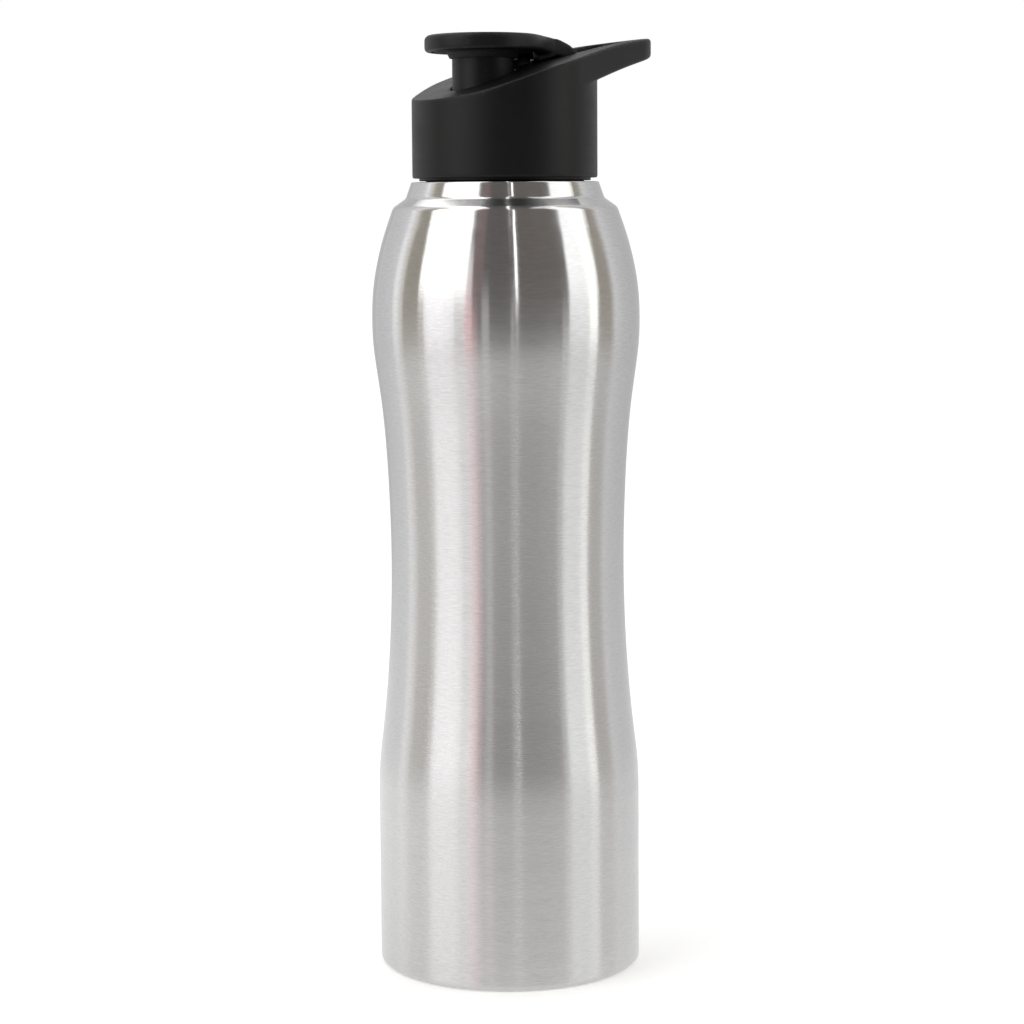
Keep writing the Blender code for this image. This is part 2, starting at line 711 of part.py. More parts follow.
make_bottle_body()
make_base_plate()
cap_axis = axis_empty("cap_axis", (0, 0, LINER_BOTTOM))
hang_on(
    cap_axis,
    make_cap_shell(),
    make_cap_liner(),
    make_cap_gasket(),
    make_drinking_spout(),
    make_spout_seal(),
    make_vent_valve(),
    make_hinge_pin(),
)
lid_axis = axis_empty("lid_axis", (HINGE_X, 0, HINGE_Z))
hang_on(lid_axis, make_flip_lid(), make_lid_plug())
hang_on(cap_axis, lid_axis)
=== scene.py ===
"""A brushed steel sports bottle with a black sipper cap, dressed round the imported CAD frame.

Row frame in metres: origin at the centre of the base, +Z up, +X towards the cap's finger loop.
"""

import json
import math

import bmesh
import bpy
import numpy as np
from mathutils import Matrix, Vector

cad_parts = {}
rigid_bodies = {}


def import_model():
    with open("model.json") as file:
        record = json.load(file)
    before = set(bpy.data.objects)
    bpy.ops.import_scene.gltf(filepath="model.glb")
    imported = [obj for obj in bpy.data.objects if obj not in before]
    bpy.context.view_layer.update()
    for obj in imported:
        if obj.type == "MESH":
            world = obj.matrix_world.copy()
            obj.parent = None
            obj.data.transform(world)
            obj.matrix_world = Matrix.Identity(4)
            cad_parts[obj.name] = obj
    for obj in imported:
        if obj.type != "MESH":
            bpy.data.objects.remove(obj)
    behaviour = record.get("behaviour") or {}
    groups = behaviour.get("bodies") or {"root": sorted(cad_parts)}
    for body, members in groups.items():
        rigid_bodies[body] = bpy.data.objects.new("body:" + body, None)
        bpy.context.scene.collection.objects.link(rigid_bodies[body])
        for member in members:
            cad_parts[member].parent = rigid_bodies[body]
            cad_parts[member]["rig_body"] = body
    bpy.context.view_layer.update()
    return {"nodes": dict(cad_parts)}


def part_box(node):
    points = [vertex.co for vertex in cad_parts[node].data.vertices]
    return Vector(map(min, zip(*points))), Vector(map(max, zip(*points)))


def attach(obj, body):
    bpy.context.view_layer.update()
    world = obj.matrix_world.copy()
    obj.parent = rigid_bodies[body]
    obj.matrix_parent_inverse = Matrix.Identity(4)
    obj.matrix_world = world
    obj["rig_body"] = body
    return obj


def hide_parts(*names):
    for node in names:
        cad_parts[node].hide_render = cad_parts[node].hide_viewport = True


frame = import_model()

MM = 0.001
GAP = 0.3 * MM  # between pieces that touch
ON_AXIS = 1e-7  # a point of a turned profile nearer the axis than this lies on it
COLUMNS = 192  # round the steel and the cap
SMALL_COLUMNS = 96  # round the small turned pieces
WALL_STEPS = 130  # up the hourglass
VOXEL = 0.4 * MM  # grain of the moulded pieces before smoothing

# Steel shell. Its wall between these heights follows the CAD node's own rings.
WALL = 0.5 * MM
WALL_FOOT = 46.0 * MM
WALL_HEAD = 205.0 * MM
STRAIGHT_FOOT = (30.0 * MM, 38.0 * MM)  # heights where the wall is still upright
BASE_RADIUS = 36.1 * MM
BASE_SEAM = 3.15 * MM
SHOULDER_EDGE = (30.5 * MM, 208.9 * MM)  # radius, height
SHOULDER_CREASE = (27.0 * MM, 211.35 * MM)
NECK_STEP_RADIUS = 25.45 * MM
NECK_STEP_TOP = 215.75 * MM
SHOULDER_EDGE_FILLET = 2.5 * MM
SHOULDER_CREASE_FILLET = 1.6 * MM
NECK_STEP_FILLET = 0.45 * MM
NECK_RADIUS = 21.2 * MM
NECK_ROOT_FILLET = 0.7 * MM
LIP_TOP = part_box("bottle_body")[1].z
LIP_BEAD_RADIUS = 0.7 * MM
LIP_CURL_DEPTH = 1.4 * MM

# Screw thread on the neck and in the insert
PITCH = 4.0 * MM
THREAD_TURNS = 2.25
THREAD_HEIGHT = 1.0 * MM
THREAD_HALF_WIDTH = 1.15 * MM
NECK_THREAD_START = 218.8 * MM
LINER_THREAD_START = NECK_THREAD_START - 1.5 * MM

# Base plate
RING_INNER = 30.5 * MM
RING_OUTER = 34.4 * MM
RECESS_RADIUS = 29.0 * MM
RECESS_DEPTH = 1.2 * MM
PLATE_THICKNESS = 0.6 * MM
PLATE_SLOPE_INSET = 0.3 * MM  # the inside of the recess's slope, from the outside
PLATE_INNER_FILLET = 0.5 * MM
PLATE_OUTER_FILLET = 0.8 * MM

# Cap: collar, deck and finger loop
COLLAR_RADIUS = 25.15 * MM
COLLAR_BORE = 24.0 * MM
COLLAR_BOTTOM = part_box("cap_shell")[0].z
DECK_THICKNESS = 1.8 * MM
DECK_STATIONS = (
    (-25.4, 237.4), (-18, 239.25), (-8, 242.9), (0, 245.5), (7, 247.5), (28, 252.6), (45.5, 255.3),
)
LOOP_UNDERSIDE_STATIONS = ((8, 239.6), (28, 245.7), (45.5, 250.2))
COLLAR_FOOT_FILLET = 0.3 * MM
RIM_FILLET = 0.45 * MM
LOOP_UNDER_FILLET = 0.8 * MM
LOOP_FILLET = 1.0 * MM
LOOP_TIP_CENTRE = 33.5 * MM
LOOP_TIP_RADIUS = 12.0 * MM
HOLE_HALF_WIDTH = 7.5 * MM
HOLE_FRONT = 13.5 * MM
HOLE_END_CENTRE = 31.0 * MM
POCKET_FLOOR = 242.4 * MM
HINGE_BLOCK_FRONT = 11.5 * MM
HINGE_BLOCK_BOTTOM = 240.8 * MM
ABOVE_CAP = 262.0 * MM

# Threaded insert and soft rings
LINER_RADIUS = 23.7 * MM
LINER_BORE = 22.6 * MM
LINER_FOOT_RADIUS = 23.3 * MM  # the insert narrows a little below the collar
LINER_BOTTOM, LINER_TOP = (corner.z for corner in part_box("cap_liner"))
LINER_ROOF = LINER_TOP - 1.6 * MM
GASKET_BORE = 18.6 * MM
SPOUT_SEAL_BORE = 6.4 * MM

# Drinking spout
SPOUT_X = -6.6 * MM
SPOUT_RADIUS = 8.4 * MM
SPOUT_BORE = 6.0 * MM
FOOT_RADIUS = 9.4 * MM
FOOT_THICKNESS = 1.3 * MM
FOOT_BOTTOM, SPOUT_TOP = (corner.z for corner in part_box("drinking_spout"))
BOSS_RADIUS = 10.0 * MM
DRINK_HOLE_RADIUS = 5.5 * MM
VENT_PASSAGE_RADIUS = 1.5 * MM

# Vent valve
VENT_X = 5.5 * MM
VENT_DOME_RADIUS = 2.7 * MM
VENT_DOME_HEIGHT = 1.5 * MM
VENT_STEM_RADIUS = 0.9 * MM
VENT_BULB_RADIUS = 1.5 * MM
VENT_BULB_HEIGHT = 1.4 * MM
VENT_HOLE_RADIUS = 1.3 * MM

# Flip lid, plug and pin
HINGE_X = 20.0 * MM
HINGE_Z = 246.6 * MM
LID_RADIUS = 15.8 * MM
LID_BOTTOM = 250.3 * MM
LID_UNDER_FILLET = 1.0 * MM
LID_TOP_FILLET = 1.5 * MM
LID_RECESS_RADIUS = 13.8 * MM
LID_RECESS_ROOF = 252.9 * MM
LID_TOP_STATIONS = (
    (-24, 254.9), (-5, 254.9), (5, 254.88), (9, 254.7), (12.6, 254.1), (16.5, 252.6), (18.8, 251.1),
)
LID_UNDERSIDE_STATIONS = (
    (-24, 250.3), (-5, 250.3), (4.5, 250.3), (8, 250.1), (12.5, 249.5), (15.6, 248.5),
)
ARM_HALF_WIDTH = 7.0 * MM
ARM_WAIST_X = 9.8 * MM
ARM_WAIST_FILLET = 6.0 * MM
ARM_BEND_X = 12.5 * MM
KNUCKLE_RADIUS = 3.0 * MM
ARM_TOP_END = HINGE_X - 1.2 * MM  # where the arm's faces run into the knuckle
ARM_UNDERSIDE_END = HINGE_X - 4.4 * MM
RIB_FRONT = 6.8 * MM
RIB_END = 13.2 * MM
RIB_OUTER = 6.9 * MM
RIB_THICKNESS = 2.9 * MM
RIB_CLEARANCE = 0.35 * MM  # above the deck
PLUG_FLANGE_RADIUS = 13.4 * MM
PLUG_SKIRT_OUTER = 9.9 * MM
PLUG_SKIRT_TIP = 9.1 * MM
PLUG_SKIRT_BOTTOM = 248.7 * MM
PIN_RADIUS = 1.25 * MM
PIN_CLEARANCE = 0.15 * MM
PIN_CHAMFER = 0.25 * MM
PIN_BORE_BLIND_END = -11.5 * MM

# Camera: where it stands round the bottle's axis, and how it is aimed
CAMERA_TURN = math.radians(-31.5)
CAMERA_DISTANCE = 0.726
CAMERA_HEIGHT = 0.2108
CAMERA_PITCH = math.radians(6.71)
CAMERA_ROLL = math.radians(-0.385)
CAMERA_ASIDE = 1.3 * MM
CAMERA_LENS = 93.2

# Studio
LIGHT_DISTANCE = 1.0
TOP_LIGHT_HEIGHT = 1.7
TOP_LIGHT_ASIDE = 0.2  # away from the camera
TABLE_RADIUS = 0.98
CEILING_HEIGHT = 1.5
CEILING_NEAR = -0.55  # where the ceiling strips start and end, away from the camera
CEILING_FAR = 2.3
STUDIO_RADIUS = 12.0
WHITE = (1.0, 1.0, 1.0)
ROSE = (1.0, 0.45, 0.48)
LAVENDER = (0.985, 0.97, 1.0)
COOL = (0.97, 1.0, 1.0)
BROWN = (1.0, 0.72, 0.45)

# Upright soft boxes: both edges as seen from the bottle, in degrees from the camera to the right,
# then the bottom, the top, the radiance and the colour
SOFT_BOXES = (
    ("wall_left", -150, -112, 0.0, 2.4, 0.10, WHITE),
    ("wall_left_near", -112, -98, 0.0, 2.4, 0.36, WHITE),
    ("box_left_foot", -70, -48, 0.0, 0.1, 0.6, LAVENDER),
    ("box_left_low", -73.5, -44, 0.0, 0.3, 0.98, LAVENDER),
    ("box_left_core", -71, -54, 0.1, 0.3, 0.16, WHITE),
    ("box_left_side", -44, -35, 0.0, 0.3, 0.4, WHITE),
    ("box_left_mid", -80, -34, 0.3, 0.7, 1.9, WHITE),
    ("box_left_rim", -34, -29, 0.3, 0.7, 0.8, WHITE),
    ("box_left_high", -84, -34, 0.7, 2.4, 1.9, WHITE),
    ("card_rose_low", -36, -24, 0.0, 0.08, 1.45, ROSE),
    ("card_rose_mid", -34, -28, 0.08, 0.3, 0.75, ROSE),
    ("card_rose_high", -29, -20, 0.3, 2.2, 0.1, ROSE),
    ("card_dim", -20, -14, 0.0, 0.3, 0.5, WHITE),
    ("slit_low", 4.3, 5.6, 0.0, 0.12, 1.05, WHITE),
    ("slit_mid", 5.4, 7.0, 0.12, 0.3, 0.55, WHITE),
    ("slit_high", 8.7, 10.1, 0.3, 1.2, 4.2, WHITE),
    ("slit_top", 4.5, 6.5, 1.2, 2.4, 3.0, WHITE),
    ("card_brown", 9, 55, 0.3, 2.2, 0.03, BROWN),
    ("box_right_foot", 48.5, 84, 0.0, 0.1, 1.1, COOL),
    ("box_right_low", 54.5, 84, 0.1, 0.3, 1.04, COOL),
    ("box_right_core", 75, 84, 0.0, 0.3, 0.4, COOL),
    ("box_right_mid", 56, 87, 0.3, 0.7, 1.4, COOL),
    ("box_right_high", 59, 94, 0.7, 2.4, 1.4, COOL),
)

# Ceiling strips that the shoulder mirrors: left edge, right edge, radiance, drop from the ceiling
CEILING_STRIPS = (
    ("ceiling_left", -0.80, -0.26, 2.1, 0.0),
    ("ceiling_dark", -0.26, 0.42, 0.13, 0.0),
    ("ceiling_slit", 0.02, 0.05, 3.0, 0.01),
    ("ceiling_right", 0.42, 0.68, 1.15, 0.0),
)

# The room's colours, from the camera's side (0) to the backdrop behind the bottle (1)
ROOM_COLOURS = (
    (0.0, (0.155, 0.147, 0.142)),
    (0.36, (0.155, 0.147, 0.142)),
    (0.40, (0.43, 0.40, 0.345)),
    (0.60, (0.43, 0.40, 0.345)),
    (0.66, (0.86, 0.86, 0.87)),
    (0.75, (0.72, 0.72, 0.735)),
    (0.88, (0.62, 0.62, 0.635)),
    (1.0, (0.57, 0.57, 0.585)),
)


# ---------------------------------------------------------------- outlines


def arc(centre, radius, start, end, steps):
    """Points round part of a circle, from one angle in degrees to the other, both ends included."""
    angles = [math.radians(start + (end - start) * i / steps) for i in range(steps + 1)]
    return [(centre[0] + radius * math.cos(a), centre[1] + radius * math.sin(a)) for a in angles]


def rounded_path(corners, steps=8):
    """A path through (x, y, fillet) corners, each rounded by its own fillet radius."""
    path = []
    for i, (x, y, fillet) in enumerate(corners):
        if fillet == 0 or i in (0, len(corners) - 1):
            path.append((x, y))
            continue
        here = Vector((x, y))
        back = (Vector(corners[i - 1][:2]) - here).normalized()
        ahead = (Vector(corners[i + 1][:2]) - here).normalized()
        half = back.angle(ahead) / 2
        centre = here + (back + ahead).normalized() * (fillet / math.sin(half))
        first = here + back * (fillet / math.tan(half)) - centre
        last = here + ahead * (fillet / math.tan(half)) - centre
        turn = first.angle_signed(last)
        for step in range(steps + 1):
            spoke = Matrix.Rotation(-turn * step / steps, 2) @ first
            path.append(tuple(centre + spoke))
    return path


def refined(path, longest):
    """The path with its long steps cut into equal ones no longer than that."""
    fine = [path[0]]
    for (x0, y0), (x1, y1) in zip(path, path[1:]):
        cuts = max(1, math.ceil(math.hypot(x1 - x0, y1 - y0) / longest))
        fine += [(x0 + (x1 - x0) * k / cuts, y0 + (y1 - y0) * k / cuts) for k in range(1, cuts + 1)]
    return fine


def height_through(stations, x):
    """Height at x of the smooth curve through (x, height) stations in mm, in metres."""
    points = [(a * MM, b * MM) for a, b in stations]
    last = len(points) - 1

    def slope(i):
        low, high = points[max(i - 1, 0)], points[min(i + 1, last)]
        return (high[1] - low[1]) / (high[0] - low[0])

    i = next((k for k in range(last) if x <= points[k + 1][0]), last - 1)
    (x0, y0), (x1, y1) = points[i], points[i + 1]
    span = x1 - x0
    t = (x - x0) / span
    start, end = slope(i) * span, slope(i + 1) * span
    return (
        (2 * t**3 - 3 * t**2 + 1) * y0
        + (t**3 - 2 * t**2 + t) * start
        + (3 * t**2 - 2 * t**3) * y1
        + (t**3 - t**2) * end
    )


def deck_height(x):
    """Height of the cap's slanted deck at x."""
    return height_through(DECK_STATIONS, x)


def outer_rings(node, low, high):
    """(height, radius) of the CAD node's outward rings between two heights, from the bottom up."""
    rings = {}
    for vertex in frame["nodes"][node].data.vertices:
        spoke = vertex.co.xy
        if low - GAP < vertex.co.z < high + GAP and vertex.normal.xy.dot(spoke) > 0:
            rings[round(vertex.co.z, 5)] = spoke.length
    return sorted(rings.items())


def natural_spline(points, count):
    """Evenly spaced points of the natural cubic spline through (x, y) points."""
    x, y = np.array(points).T
    step = np.diff(x)
    slope = np.diff(y) / step
    size = len(x)
    system = np.eye(size)
    bend = np.zeros(size)
    for i in range(1, size - 1):
        system[i, i - 1 : i + 2] = step[i - 1], 2 * (step[i - 1] + step[i]), step[i]
        bend[i] = 6 * (slope[i] - slope[i - 1])
    bend = np.linalg.solve(system, bend)
    places = np.linspace(x[0], x[-1], count)
    k = np.clip(np.searchsorted(x, places) - 1, 0, size - 2)
    ahead, behind = x[k + 1] - places, places - x[k]
    values = (
        (bend[k] * ahead**3 + bend[k + 1] * behind**3) / (6 * step[k])
        + (y[k] / step[k] - bend[k] * step[k] / 6) * ahead
        + (y[k + 1] / step[k] - bend[k + 1] * step[k] / 6) * behind
    )
    return list(zip(places, values))


# ---------------------------------------------------------------- meshes


def new_object(name, data):
    """A new object in the scene that shows this mesh, light or camera."""
    obj = bpy.data.objects.new(name, data)
    bpy.context.scene.collection.objects.link(obj)
    return obj


def mesh_from(name, shape):
    """A new mesh with the shape that was built, which is freed."""
    mesh = bpy.data.meshes.new(name)
    shape.to_mesh(mesh)
    shape.free()
    return mesh


def closed_mesh(name, points, faces):
    """A mesh of a closed solid, with every face turned outward."""
    mesh = bpy.data.meshes.new(name)
    mesh.from_pydata(points, [], faces)
    shape = bmesh.new()
    shape.from_mesh(mesh)
    bmesh.ops.recalc_face_normals(shape, faces=shape.faces)
    shape.to_mesh(mesh)
    shape.free()
    return mesh


def turned_mesh(name, path, columns, closed=False, lift=None):
    """A profile of (radius, height) points turned round Z.

    A closed profile is a loop clear of the axis. lift(angle, radius, height) is how far the wall
    stands out there.
    """
    angles = [2 * math.pi * i / columns for i in range(columns)]
    points, rows = [], []
    for radius, height in path:
        if radius < ON_AXIS:
            rows.append([len(points)] * columns)
            points.append((0, 0, height))
            continue
        rows.append(range(len(points), len(points) + columns))
        for angle in angles:
            reach = radius + (lift(angle, radius, height) if lift else 0)
            points.append((reach * math.cos(angle), reach * math.sin(angle), height))
    pairs = list(zip(rows, rows[1:])) + ([(rows[-1], rows[0])] if closed else [])
    faces = []
    for low, high in pairs:
        for i in range(columns):
            j = (i + 1) % columns
            corners = dict.fromkeys((low[i], low[j], high[j], high[i]))
            faces.append(list(corners))
    mesh = closed_mesh(name, points, faces)
    mesh.shade_smooth()
    mesh.set_sharp_from_angle(angle=math.radians(50))
    return mesh


def skin_path(outer, thickness):
    """A closed profile: the outer path, then back along the inside at that wall thickness."""
    points = np.array(outer)
    along = np.gradient(points, axis=0)
    along /= np.linalg.norm(along, axis=1)[:, None]
    inward = np.column_stack((-along[:, 1], along[:, 0]))
    inner = points + inward * thickness
    return [tuple(p) for p in points] + [tuple(p) for p in inner[::-1]]


def thread_lift(start, depth, widest=math.inf):
    """How far a rolled thread moves a wall up to that radius. It fades out at both ends."""

    def lift(angle, radius, z):
        reach = 0.0
        for turn in range(math.ceil(THREAD_TURNS)):
            turns = turn + angle / (2 * math.pi)
            off = abs(z - start - PITCH * turns) / THREAD_HALF_WIDTH
            fade = min(1.0, 6 * turns, 6 * (THREAD_TURNS - turns))
            if off < 1 and fade > 0 and radius < widest:
                reach = max(reach, fade * (0.5 + 0.5 * math.cos(math.pi * off)))
        return depth * reach

    return lift


def cylinder_mesh(name, radius, length, steps):
    """A round bar along Z, centred on the origin."""
    shape = bmesh.new()
    bmesh.ops.create_cone(
        shape, cap_ends=True, segments=steps, radius1=radius, radius2=radius, depth=length
    )
    return mesh_from(name, shape)


def plate_mesh(name, outline, low, high):
    """A closed outline in XY as a slab from one height to another."""
    count = len(outline)
    points = [(x, y, z) for z in (low, high) for x, y in outline]
    sides = [(i, (i + 1) % count, count + (i + 1) % count, count + i) for i in range(count)]
    ends = [tuple(range(count)), tuple(range(count, 2 * count))]
    return closed_mesh(name, points, sides + ends)


def rounded_slab(name, side, under, top, low_fillet, high_fillet):
    """A slab with rounded edges, symmetric about the XZ plane.

    side is half its outline in plan, from front to back on the +Y side. under(x) and top(x) are
    the heights of its two faces.
    """
    side = np.array(side)
    along = np.gradient(side, axis=0)
    along /= np.linalg.norm(along, axis=1)[:, None]
    inward = np.column_stack((along[:, 1], -along[:, 0]))
    steps = [math.pi / 2 * k / 8 for k in range(9)]
    quarter = [(1 - math.sin(angle), 1 - math.cos(angle)) for angle in steps]
    rings = [(low_fillet * inset, under, low_fillet * rise) for inset, rise in quarter]
    rings += [(high_fillet * inset, top, -high_fillet * drop) for inset, drop in reversed(quarter)]
    points = []
    for inset, face, shift in rings:
        half = [(x, max(y, 0.0), face(x) + shift) for x, y in side + inward * inset]
        points += half + [(x, -y, z) for x, y, z in reversed(half)]
    count = 2 * len(side)
    faces = []
    for ring in range(len(rings) - 1):
        low, high = ring * count, (ring + 1) * count
        for i in range(count):
            j = (i + 1) % count
            faces.append((low + i, low + j, high + j, high + i))
    for start in (0, (len(rings) - 1) * count):
        for i in range(len(side) - 1):
            faces.append([start + k for k in (i, i + 1, count - 2 - i, count - 1 - i)])
    return new_object(name, closed_mesh(name, points, faces))


def side_plate(name, outline, half_width):
    """An outline in the XZ plane, extruded to both sides along Y."""
    mesh = plate_mesh(name, outline, -half_width, half_width)
    mesh.transform(Matrix.Rotation(math.pi / 2, 4, "X"))
    return new_object(name, mesh)


def upright(name, x, radius, bottom, top, steps=COLUMNS):
    """A round bar along Z at (x, 0), from one height to another."""
    obj = new_object(name, cylinder_mesh(name, radius, top - bottom, steps))
    obj.location = (x, 0, (bottom + top) / 2)
    return obj


def crosswise(name, radius, low, high):
    """A cylinder along Y on the lid's hinge axis."""
    mesh = cylinder_mesh(name, radius, high - low, SMALL_COLUMNS)
    mesh.transform(Matrix.Rotation(math.pi / 2, 4, "X"))
    obj = new_object(name, mesh)
    obj.location = (HINGE_X, (low + high) / 2, HINGE_Z)
    return obj


def evaluated_mesh(obj):
    """The object's mesh with its modifiers applied, in world coordinates."""
    graph = bpy.context.evaluated_depsgraph_get()
    mesh = bpy.data.meshes.new_from_object(obj.evaluated_get(graph), depsgraph=graph)
    mesh.transform(obj.matrix_world)
    return mesh


def carve(obj, steps):
    """Adds or cuts solids one after the other, removes them, and leaves obj at the origin."""
    for operation, other in steps:
        modifier = obj.modifiers.new(other.name, "BOOLEAN")
        modifier.operation = operation
        modifier.object = other
        modifier.solver = "EXACT"
    bpy.context.view_layer.update()
    mesh = evaluated_mesh(obj)
    obj.modifiers.clear()
    obj.data = mesh
    obj.matrix_world = Matrix.Identity(4)
    for _, other in steps:
        bpy.data.objects.remove(other)
    return obj


def soften(obj, passes):
    """Remeshes a carved solid finely and rounds its edges, as a moulded piece has them."""
    remesh = obj.modifiers.new("remesh", "REMESH")
    remesh.mode = "VOXEL"
    remesh.voxel_size = VOXEL
    remesh.use_smooth_shade = True
    smooth = obj.modifiers.new("smooth", "SMOOTH")
    smooth.factor = 0.5
    smooth.iterations = passes
    bpy.context.view_layer.update()
    mesh = evaluated_mesh(obj)
    obj.modifiers.clear()
    obj.data = mesh
    mesh.shade_smooth()
    return obj


# ---------------------------------------------------------------- materials


class Finish:
    """A node material, with short calls for the nodes that its patterns use."""

    def __init__(self, name):
        self.material = bpy.data.materials.new(name)
        self.material.use_nodes = True
        self.nodes = self.material.node_tree.nodes
        self.links = self.material.node_tree.links
        self.shader = self.nodes["Principled BSDF"]
        self.place = self.nodes.new("ShaderNodeTexCoord").outputs["Object"]

    def set(self, **values):
        """Gives the shader's own sockets their even values."""
        for key, value in values.items():
            self.shader.inputs[key.replace("_", " ").title()].default_value = value

    def link(self, source, target):
        self.links.new(source, target)

    def drive(self, socket, source):
        """Feeds a pattern to one of the shader's sockets."""
        self.links.new(source, self.shader.inputs[socket])

    def scaled(self, x, y, z):
        """The object's coordinates, stretched along each axis."""
        node = self.nodes.new("ShaderNodeMapping")
        node.inputs["Scale"].default_value = (x, y, z)
        self.link(self.place, node.inputs["Vector"])
        return node.outputs["Vector"]

    def noise(self, place, scale=1.0, detail=2.0, roughness=0.5):
        node = self.nodes.new("ShaderNodeTexNoise")
        for key, value in (("Scale", scale), ("Detail", detail), ("Roughness", roughness)):
            node.inputs[key].default_value = value
        self.link(place, node.inputs["Vector"])
        return node.outputs["Fac"]

    def remap(self, source, from_low, from_high, to_low, to_high, smooth=False):
        """The source's values, moved from one range to another and held within it."""
        node = self.nodes.new("ShaderNodeMapRange")
        node.interpolation_type = "SMOOTHSTEP" if smooth else "LINEAR"
        for key, value in (
            ("From Min", from_low),
            ("From Max", from_high),
            ("To Min", to_low),
            ("To Max", to_high),
        ):
            node.inputs[key].default_value = value
        self.link(source, node.inputs["Value"])
        return node.outputs["Result"]

    def math(self, operation, first, second):
        node = self.nodes.new("ShaderNodeMath")
        node.operation = operation
        for socket, value in zip(node.inputs, (first, second)):
            if isinstance(value, (int, float)):
                socket.default_value = value
            else:
                self.link(value, socket)
        return node.outputs["Value"]

    def mix(self, amount, first, second):
        """From the first colour to the second, by an amount from 0 to 1."""
        node = self.nodes.new("ShaderNodeMix")
        node.data_type = "RGBA"
        self.link(amount, node.inputs["Factor"])
        colour_inputs = [s for s in node.inputs if s.type == "RGBA"]
        for socket, value in zip(colour_inputs, (first, second)):
            if isinstance(value, tuple):
                socket.default_value = (*value, 1.0)
            else:
                self.link(value, socket)
        return next(s for s in node.outputs if s.type == "RGBA")

    def along(self, axis):
        """The object's own X, Y or Z coordinate."""
        node = self.nodes.new("ShaderNodeSeparateXYZ")
        self.link(self.place, node.inputs["Vector"])
        return node.outputs[axis]

    def reach(self):
        """Distance from the object's origin."""
        node = self.nodes.new("ShaderNodeVectorMath")
        node.operation = "LENGTH"
        self.link(self.place, node.inputs[0])
        return node.outputs["Value"]

    def bump(self, source, distance, under=None):
        """A normal for a relief that is that deep in metres, on top of another relief."""
        node = self.nodes.new("ShaderNodeBump")
        node.inputs["Strength"].default_value = 1.0
        node.inputs["Distance"].default_value = distance
        self.link(source, node.inputs["Height"])
        if under:
            self.link(under, node.inputs["Normal"])
        return node.outputs["Normal"]


def brushed_steel():
    """Steel brushed round the bottle, polished bright towards the shoulder."""
    steel = Finish("steel_brushed_round")
    steel.set(metallic=1.0, anisotropic=1.0, anisotropic_rotation=0.25)
    tangent = steel.nodes.new("ShaderNodeTangent")
    tangent.direction_type = "RADIAL"
    tangent.axis = "Z"
    steel.drive("Tangent", tangent.outputs["Tangent"])
    fine = steel.noise(steel.scaled(200, 200, 6000), detail=3.0, roughness=0.65)
    flecks = steel.noise(steel.scaled(420, 420, 3600), detail=2.0, roughness=0.6)
    bands = steel.noise(steel.scaled(6, 6, 240), detail=2.0)
    cloud = steel.noise(steel.place, scale=30, detail=3.0)
    polish = steel.remap(steel.along("Z"), 0.150, 0.205, 0.0, 1.0, smooth=True)
    grain = steel.remap(flecks, 0.3, 0.7, 0.0, 1.0)
    steel.drive("Base Color", steel.mix(grain, (0.60, 0.592, 0.588), (0.67, 0.664, 0.66)))
    brushed = steel.remap(steel.math("ADD", fine, bands), 0.7, 1.3, 0.24, 0.285)
    blend = steel.math("MULTIPLY", polish, steel.remap(cloud, 0.3, 0.7, 0.10, 0.13))
    steel.drive("Roughness", steel.math("SUBTRACT", brushed, blend))
    ripple = steel.noise(steel.scaled(24, 24, 230), detail=1.0)
    wavy = steel.bump(ripple, 0.0000015)
    lines = steel.math("ADD", fine, steel.math("MULTIPLY", flecks, 0.6))
    depth = steel.math("MULTIPLY", lines, steel.remap(polish, 0.0, 1.0, 1.0, 0.35))
    steel.drive("Normal", steel.bump(depth, 0.0000016, under=wavy))
    return steel.material


def moulded_plastic():
    """Black plastic from an etched mould: fine grain, uneven sheen, and pale edges that are partly
    rubbed wear and partly a painted edge highlight.
    """
    plastic = Finish("plastic_etched_black")
    plastic.shader.inputs["Specular IOR Level"].default_value = 0.28
    cloud = plastic.noise(plastic.place, scale=70, detail=4.0, roughness=0.6)
    grain = plastic.noise(plastic.place, scale=3600, detail=2.0, roughness=0.6)
    scuffs = plastic.noise(plastic.scaled(60, 60, 900), detail=3.0, roughness=0.7)
    edge = plastic.nodes.new("ShaderNodeNewGeometry").outputs["Pointiness"]
    # Pale edges from pointiness, masked by scuff noise: rubbed wear together with a painted edge
    # highlight.
    wear_and_highlight_edges = plastic.remap(edge, 0.52, 0.60, 0.0, 1.0, smooth=True)
    colour = plastic.mix(cloud, (0.0022, 0.0022, 0.0024), (0.0042, 0.0041, 0.0046))
    rubbed_and_highlit_edges = plastic.math("MULTIPLY", wear_and_highlight_edges, plastic.remap(scuffs, 0.35, 0.7, 0.1, 0.6))
    # Mixes in the pale edge colour: partly rubbed wear, partly a painted edge highlight.
    plastic.drive("Base Color", plastic.mix(rubbed_and_highlit_edges, colour, (0.025, 0.025, 0.026)))
    sheen = plastic.math("ADD", cloud, plastic.math("MULTIPLY", scuffs, 0.5))
    plastic.drive("Roughness", plastic.remap(sheen, 0.5, 1.0, 0.38, 0.50))
    plastic.drive("Normal", plastic.bump(grain, 0.000012))
    return plastic.material


def silicone(name, dark, light, roughness, subsurface):
    """Soft moulded rubber with a dusty, slightly mottled skin."""
    rubber = Finish(name)
    rubber.set(subsurface_weight=subsurface, subsurface_scale=0.002)
    cloud = rubber.noise(rubber.place, scale=160, detail=4.0, roughness=0.6)
    dust = rubber.noise(rubber.place, scale=1500, detail=3.0, roughness=0.7)
    rubber.drive("Base Color", rubber.mix(cloud, dark, light))
    low, high = roughness
    rubber.drive("Roughness", rubber.remap(dust, 0.3, 0.7, low, high))
    rubber.drive("Normal", rubber.bump(dust, 0.00001))
    return rubber.material


